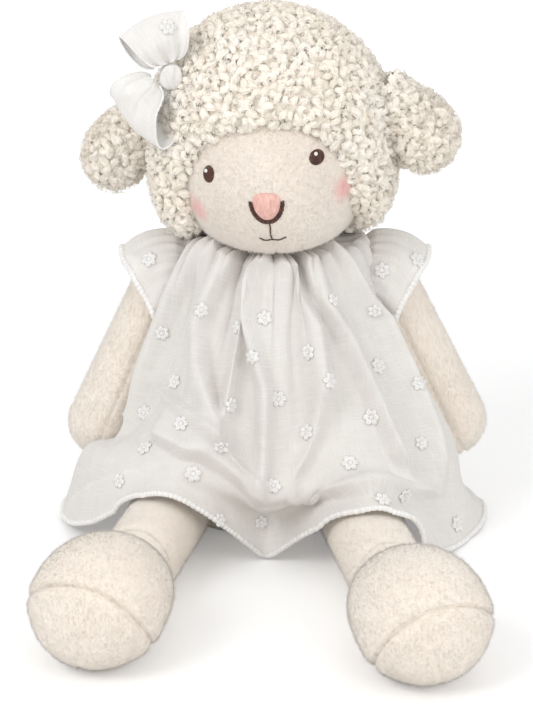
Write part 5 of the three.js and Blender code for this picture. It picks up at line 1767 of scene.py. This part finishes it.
def dress_cloth():
    """Turns and grid of points of the dress: the smooth surface with its relief, tucked in at the neckline,
    kept off legs and floor, and pressed in by the arms."""
    across, along = GRIDS["dress"]
    degrees = np.arange(across) / across * 360
    v = np.linspace(0, 1, along + 1)
    base = dress_surface(degrees, v)
    normals = grid_normals(np.concatenate([base[-1:], base, base[:1]]))[1:-1]
    cloth = base + normals * dress_relief(degrees, v, base)[..., None]
    tuck = (1 - ramp(v, 0, TUCK_PLACE))[None, :]
    cloth[..., :2] *= (1 - TUCK_SHARE * tuck)[..., None]
    cloth[..., 2] += TUCK_RISE * tuck
    lowest = np.maximum(legs_top_under(cloth[..., 0], cloth[..., 1]) - CLOTH_SAG, CLOTH_LIFT)
    cloth[..., 2] = np.maximum(cloth[..., 2], lowest)
    return degrees, pressed_by_arms(cloth, ARMHOLE_ROOM)


def overlocked(line, radius, lump_steps, closed=False):
    """A hem's threads as a tube along its line: the radius rises and falls with a sine's size, and the tube
    stays off the floor."""
    lump = np.abs(np.sin(np.pi * np.arange(len(line)) / lump_steps))
    thick = radius * (HEM_THIN + HEM_LUMP * lump)
    line[:, 2] = np.maximum(line[:, 2], thick + HEM_CLEARANCE)
    return tube(line[None], thick[None], HEM_SIDES, closed)


def build_binding():
    """The neckline's binding: a ribbed tube along the neck's oval."""
    turn = np.linspace(0, 2 * np.pi, BINDING_STEPS + 1)[:-1]
    inset = 1 - TUCK_SHARE
    rim = np.stack([
        inset * (lean_at(NECK_HEIGHT) + NECK_HALF_WIDTH * np.sin(turn)),
        -inset * neck_depth(turn) * np.cos(turn),
        np.full_like(turn, NECK_HEIGHT + TUCK_RISE),
    ], -1)
    thick = BINDING_SHARE * BINDING_RADIUS * (1 + BINDING_LUMP * np.cos(PLEATS * turn))
    points, faces, uv = tube(rim[None], thick[None], HEM_SIDES, closed=True)
    binding = piece("neck_binding_cloth", points, faces, LOOKS["voile_bow"], uv * BINDING_WEAVE)
    worn(binding, "torso", "voile", "neck_binding")


def build_dress():
    """The dress with its armholes left open, its hem, flowers and binding."""
    degrees, cloth = dress_cloth()
    points = cloth.reshape(-1, 3)
    faces, uv = grid(*GRIDS["dress"], ring=True)
    faces, uv = faces[:, ::-1], (uv * DRESS_WEAVE)[:, ::-1]
    at_armhole = points[:, 2] > ARMHOLE_BOTTOM - ARMHOLE_FADE
    open_there = (at_armhole & (clear_of_arms(points, ARMHOLE_ROOM) > 0))[faces].all(1)
    faces, uv = faces[~open_there], uv[~open_there]
    laps = ride_by_lap("dress_cloth", points, faces, uv, LOOKS["voile"], point_normals(points, faces))
    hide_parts("dress_front", "dress_back")
    edge = np.arange(HEM_STEPS) / HEM_STEPS * 360
    line = resampled(edge, np.append(degrees, 360), np.concatenate([cloth[:, -1], cloth[:1, -1]]))
    hem = overlocked(line, HEM_RADIUS, HEM_LUMP_STEPS, closed=True)
    hems = ride_by_lap("hem_stitch", *hem, LOOKS["white"])
    flowers = build_flowers(points, faces)
    build_binding()


# Sleeves


def sleeve_points(side, u, v):
    """A half-round flap over the shoulder: turn goes from front to back and v outwards. Its length is
    greatest on top, its radius flares with v squared, waves and gathers ripple it, and its end curls down."""
    arc = math.radians(SLEEVE_ARC)
    turn = mix(-arc, arc, u)
    length = mix(SLEEVE_SIDE_LENGTH, SLEEVE_LENGTH, ((1 + np.cos(turn)) / 2) ** SLEEVE_TAPER)
    waves = SLEEVE_WAVE * np.cos(SLEEVE_WAVES * turn) * v
    gathers = SLEEVE_GATHER * np.cos(SLEEVE_GATHERS * turn + SLEEVE_GATHER_START)
    radius = SLEEVE_RADIUS + SLEEVE_FLARE * v * v + waves + gathers * (1 - v) ** SLEEVE_GATHER_FADE
    radius = radius + SLEEVE_PUFF * np.sin(np.pi * v)
    radius = radius - SLEEVE_TUCK * (1 - ramp(v, 0, SLEEVE_TUCK_PLACE))
    return np.stack([
        SHOULDER_LEAN + side["sign"] * (side["reach"] - SLEEVE_INSET + length * v),
        SHOULDER_Y + radius * np.sin(turn),
        SHOULDER_HEIGHT + radius * np.cos(turn) - SLEEVE_CURL * v**SLEEVE_CURL_POWER,
    ], -1)


def build_sleeves():
    """Each sleeve with its hem and flowers."""
    across, along = GRIDS["sleeve"]
    for name, side in SIDES.items():
        cloth = sleeve_points(side, *grid_uv(across, along))
        points = cloth.reshape(-1, 3)
        faces, uv = grid(across, along)
        if side["sign"] > 0:
            faces, uv = faces[:, ::-1], uv[:, ::-1]
        sleeve = piece("sleeve_cloth_" + name, points, faces, LOOKS["voile"], uv * SLEEVE_WEAVE)
        line = resampled(np.linspace(0, across, SLEEVE_HEM_STEPS), np.arange(across + 1), cloth[:, -1])
        hem_points, hem_faces, hem_uv = overlocked(line, SLEEVE_HEM_RADIUS, SLEEVE_HEM_LUMP_STEPS)
        hem = piece("sleeve_hem_" + name, hem_points, hem_faces, LOOKS["white"], hem_uv)
        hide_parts("sleeve_" + name)
        sewn, sewn_faces, sewn_uv = sewn_flowers(
            points, faces, SLEEVE_FLOWER_PIXELS[name], SEEDS["sleeve_flowers"],
        )
        flowers = piece("sleeve_flowers_" + name, sewn, sewn_faces, LOOKS["white"], sewn_uv)
        for one in (sleeve, hem, flowers):
            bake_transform(one)


# Flowers


def flower(petals):
    """One embroidered flower of unit radius in its own plane: each petal is a puffed loop, a tube round an
    oval, and a small ring of thread is its middle."""
    turn = 2 * np.pi * np.arange(petals) / petals
    s = 2 * np.pi * np.arange(PETAL_STEPS) / PETAL_STEPS
    out = PETAL_MIDDLE + PETAL_HALF_LENGTH * np.cos(s)
    direction = np.stack([np.cos(turn), np.sin(turn), 0 * turn], -1)
    beside = np.stack([-np.sin(turn), np.cos(turn), 0 * turn], -1)
    path = direction[:, None] * out[:, None] + beside[:, None] * (PETAL_HALF_WIDTH * np.sin(s))[:, None]
    path = path + PETAL_HEIGHT * UP
    eyelet = np.stack([EYELET_RADIUS * np.cos(s), EYELET_RADIUS * np.sin(s), 0 * s + EYELET_HEIGHT], -1)[None]
    return joined([
        tube(path, np.full(path.shape[:2], PETAL_THREAD), PETAL_SIDES, closed=True),
        tube(eyelet, np.full(eyelet.shape[:2], EYELET_THREAD), PETAL_SIDES, closed=True),
    ])


def seen_places(tree, pixels):
    """Where the camera's rays through pixels of the photograph's frame meet a cloth, and which way a flower
    faces there: the cloth's normal, drawn towards the camera as flowers are stiffer than the folds."""
    found = []
    for px, py in pixels:
        way = camera_ray(px, py)
        hit, normal, _, _ = tree.ray_cast(CAMERA_PLACE * MM, way)
        if hit is not None:
            facing = -np.sign(np.array(normal) @ way)
            found.append((np.array(hit) / MM, unit(facing * np.array(normal) - FLOWER_FACING * way)))
    return found


def cloth_height(tree, point, normal):
    """How far the cloth lies over a point along a normal, and 0 where there is none near."""
    start = (point + normal * FLOWER_SEARCH) * MM
    hit, _, _, _ = tree.ray_cast(start, -normal, 2 * FLOWER_SEARCH * MM)
    return 0 if hit is None else (np.array(hit) / MM - point) @ normal


def lay_flowers(tree, found, seed):
    """Lays each flower against the cloth: every point rises by the cloth's own height there, within limits,
    and its height in the flower's plane."""
    shape, shape_faces, shape_uv = flower(FLOWER_PETALS)
    rng = np.random.default_rng(seed)
    parts = []
    for at, normal in found:
        first = unit(np.cross(normal, unit(rng.normal(0, 1, 3))))
        axes = np.stack([first, np.cross(normal, first), normal])
        placed = shape * FLOWER_RADIUS * rng.uniform(*FLOWER_SIZES) @ axes
        height = placed @ normal
        flat = at + placed - height[:, None] * normal
        cloth = np.array([cloth_height(tree, point, normal) for point in flat])
        rise = np.clip(cloth, -FLOWER_BEND, FLOWER_BEND) + np.maximum(height, FLOWER_LEAST_RISE)
        parts.append((flat + rise[:, None] * normal, shape_faces, shape_uv))
    return joined(parts)


def cloth_tree(points, faces):
    """The cloth for rays to be cast at, in metres."""
    return BVHTree.FromPolygons((points * MM).tolist(), faces.tolist())


def sewn_flowers(points, faces, pixels, seed):
    """Flowers on the side of a cloth that faces the camera."""
    tree = cloth_tree(points, faces)
    return lay_flowers(tree, seen_places(tree, pixels), seed)


def build_flowers(points, faces):
    """The dress's own flowers: those seen in front, and rows of guessed ones at the back."""
    tree = cloth_tree(points, faces)
    back = []
    for k, row in enumerate(BACK_FLOWER_ROWS):
        first, last = BACK_FLOWER_TURNS
        degrees = np.arange(first + BACK_FLOWER_OFFSET * (k % 2), last, BACK_FLOWER_STEP)
        for here in dress_surface(degrees, np.array([row, row + ROW_STEP]))[:, 0]:
            hit, normal, _, _ = tree.find_nearest(here * MM)
            normal = np.array(normal)
            back.append((np.array(hit) / MM, np.sign(normal @ here) * normal))
    found = seen_places(tree, FLOWER_PIXELS) + back
    return ride_by_lap("flowers", *lay_flowers(tree, found, SEEDS["dress_flowers"]), LOOKS["white"])


# Camera and lamps


def camera_ray(px, py):
    """The way the camera looks through a pixel of the photograph's frame: ahead, and right and up by the
    pixel's place on the sensor over the lens's length."""
    scale = SENSOR / PHOTO_SIZE[1] / CAMERA_LENS
    right, up = (px - PHOTO_SIZE[0] / 2) * scale, (PHOTO_SIZE[1] / 2 - py) * scale
    pitch = math.radians(CAMERA_PITCH)
    ahead = np.array([0, math.cos(pitch), -math.sin(pitch)])
    above = np.array([0, math.sin(pitch), math.cos(pitch)])
    return unit(ahead + right * RIGHT + up * above)


def add_camera():
    """A camera that looks straight ahead at the toy and down by its pitch."""
    data = bpy.data.cameras.new("camera")
    data.lens = CAMERA_LENS
    data.sensor_width = SENSOR
    camera = bpy.data.objects.new("camera", data)
    camera.location = CAMERA_PLACE * MM
    camera.rotation_euler = (math.radians(90 - CAMERA_PITCH), 0, 0)
    bpy.context.scene.collection.objects.link(camera)
    bpy.context.scene.camera = camera


def add_lamp(name, place, size, power):
    """A square lamp that faces the toy."""
    data = bpy.data.lights.new(name, "AREA")
    data.size = size
    data.energy = power
    lamp = bpy.data.objects.new(name, data)
    lamp.location = place
    x, y, z = np.array(LAMPS_AIM) - np.array(place)
    lamp.rotation_euler = (math.atan2(math.hypot(x, y), -z), 0, math.atan2(-x, y))
    bpy.context.scene.collection.objects.link(lamp)


def add_world():
    """White to the camera, in gloss and through glass, and a plain light of its own on the object."""
    world = bpy.data.worlds.new("studio")
    world.use_nodes = True
    nodes, links = world.node_tree.nodes, world.node_tree.links
    rays = nodes.new("ShaderNodeLightPath")
    seen = rays.outputs["Is Camera Ray"]
    for kind in ("Is Glossy Ray", "Is Transmission Ray"):
        either = nodes.new("ShaderNodeMath")
        either.operation = "MAXIMUM"
        links.new(seen, either.inputs[0])
        links.new(rays.outputs[kind], either.inputs[1])
        seen = either.outputs[0]
    strength = nodes.new("ShaderNodeMapRange")
    strength.inputs["To Min"].default_value = WORLD_LIGHT
    strength.inputs["To Max"].default_value = 1.0
    links.new(seen, strength.inputs["Value"])
    background = nodes["Background"]
    background.inputs["Color"].default_value = (1.0, 1.0, 1.0, 1.0)
    links.new(strength.outputs[0], background.inputs["Strength"])
    bpy.context.scene.world = world


def add_floor():
    """A pale floor that keeps the shadow, and glows to the camera more and more with distance."""
    look = Look("studio_floor")
    away = look.add("VectorMath", {"operation": "LENGTH"}, _0=look.place()).outputs["Value"]
    far = look.range(away, *FLOOR_DISTANCES, *FLOOR_GLOWS)
    shown = look.sum("MULTIPLY", look.add("LightPath").outputs["Is Camera Ray"], far)
    glow = look.add("Emission", Color=(1, 1, 1, 1), Strength=shown)
    both = look.add("AddShader", _0=look.shader.outputs[0], _1=glow.outputs[0])
    look.set(look.out.inputs["Surface"], both.outputs[0])
    look.finish(Base_Color=FLOOR, Roughness=1.0, Specular_IOR_Level=0.0)
    corners = np.array([[-1, -1, 0], [1, -1, 0], [1, 1, 0], [-1, 1, 0]]) * FLOOR_HALF / MM
    piece("studio_floor", corners - FLOOR_BELOW * UP, np.array([[0, 1, 2, 3]]), look.material)


def add_studio():
    """The world, the floor and the lamps."""
    add_world()
    add_floor()
    for name, (place, size, power) in LAMPS.items():
        add_lamp(name, place, size, power)
    bpy.context.scene.view_settings.view_transform = "Standard"


# The looks, and the pieces one after the other

LOOKS = {
    "plush": plush_look("short_plush", CREAM, CREAM_SHADE),
    "pile": plush_look("plush_hairs", CREAM, CREAM_SHADE, hairs=True),
    "face": plush_look("face_plush", FACE_CREAM, FACE_SHADE, blush=blush_places()),
    "face_pile": plush_look("face_hairs", FACE_CREAM, FACE_SHADE, blush=blush_places(), hairs=True),
    "lining": plush_look("ear_lining", TAN, TAN_SHADE),
    "fleece": fleece_look("wool_locks", FLEECE, FLEECE_SHADE),
    "ground": fleece_look("wool_ground", FLEECE_SHADE, FLEECE_GROUND),
    "voile": voile_look("voile", VOILE_COVER, VOILE, VOILE_SHADE),
    # doubled voile: more cover from the doubling, and colours painted a little lighter as painted light
    "voile_bow": voile_look("voile_doubled_painted_lighter", BOW_COVER, BOW_VOILE_PAINTED_LIGHTER, BOW_SHADE_PAINTED_LIGHTER),
    "white": thread_look("white_thread", *WHITE_THREAD, scale=900.0, roughness=0.7),
    "brown": thread_look("brown_thread", *BROWN_THREAD, scale=1500.0, roughness=0.5),
    "pink": thread_look("pink_thread", *PINK_THREAD, scale=1500.0, roughness=0.42),
}

build_torso()
build_face()
build_features()
build_cap()
build_ears()
build_bow()
build_arms()
build_legs()
build_dress()
build_sleeves()
add_camera()
add_studio()
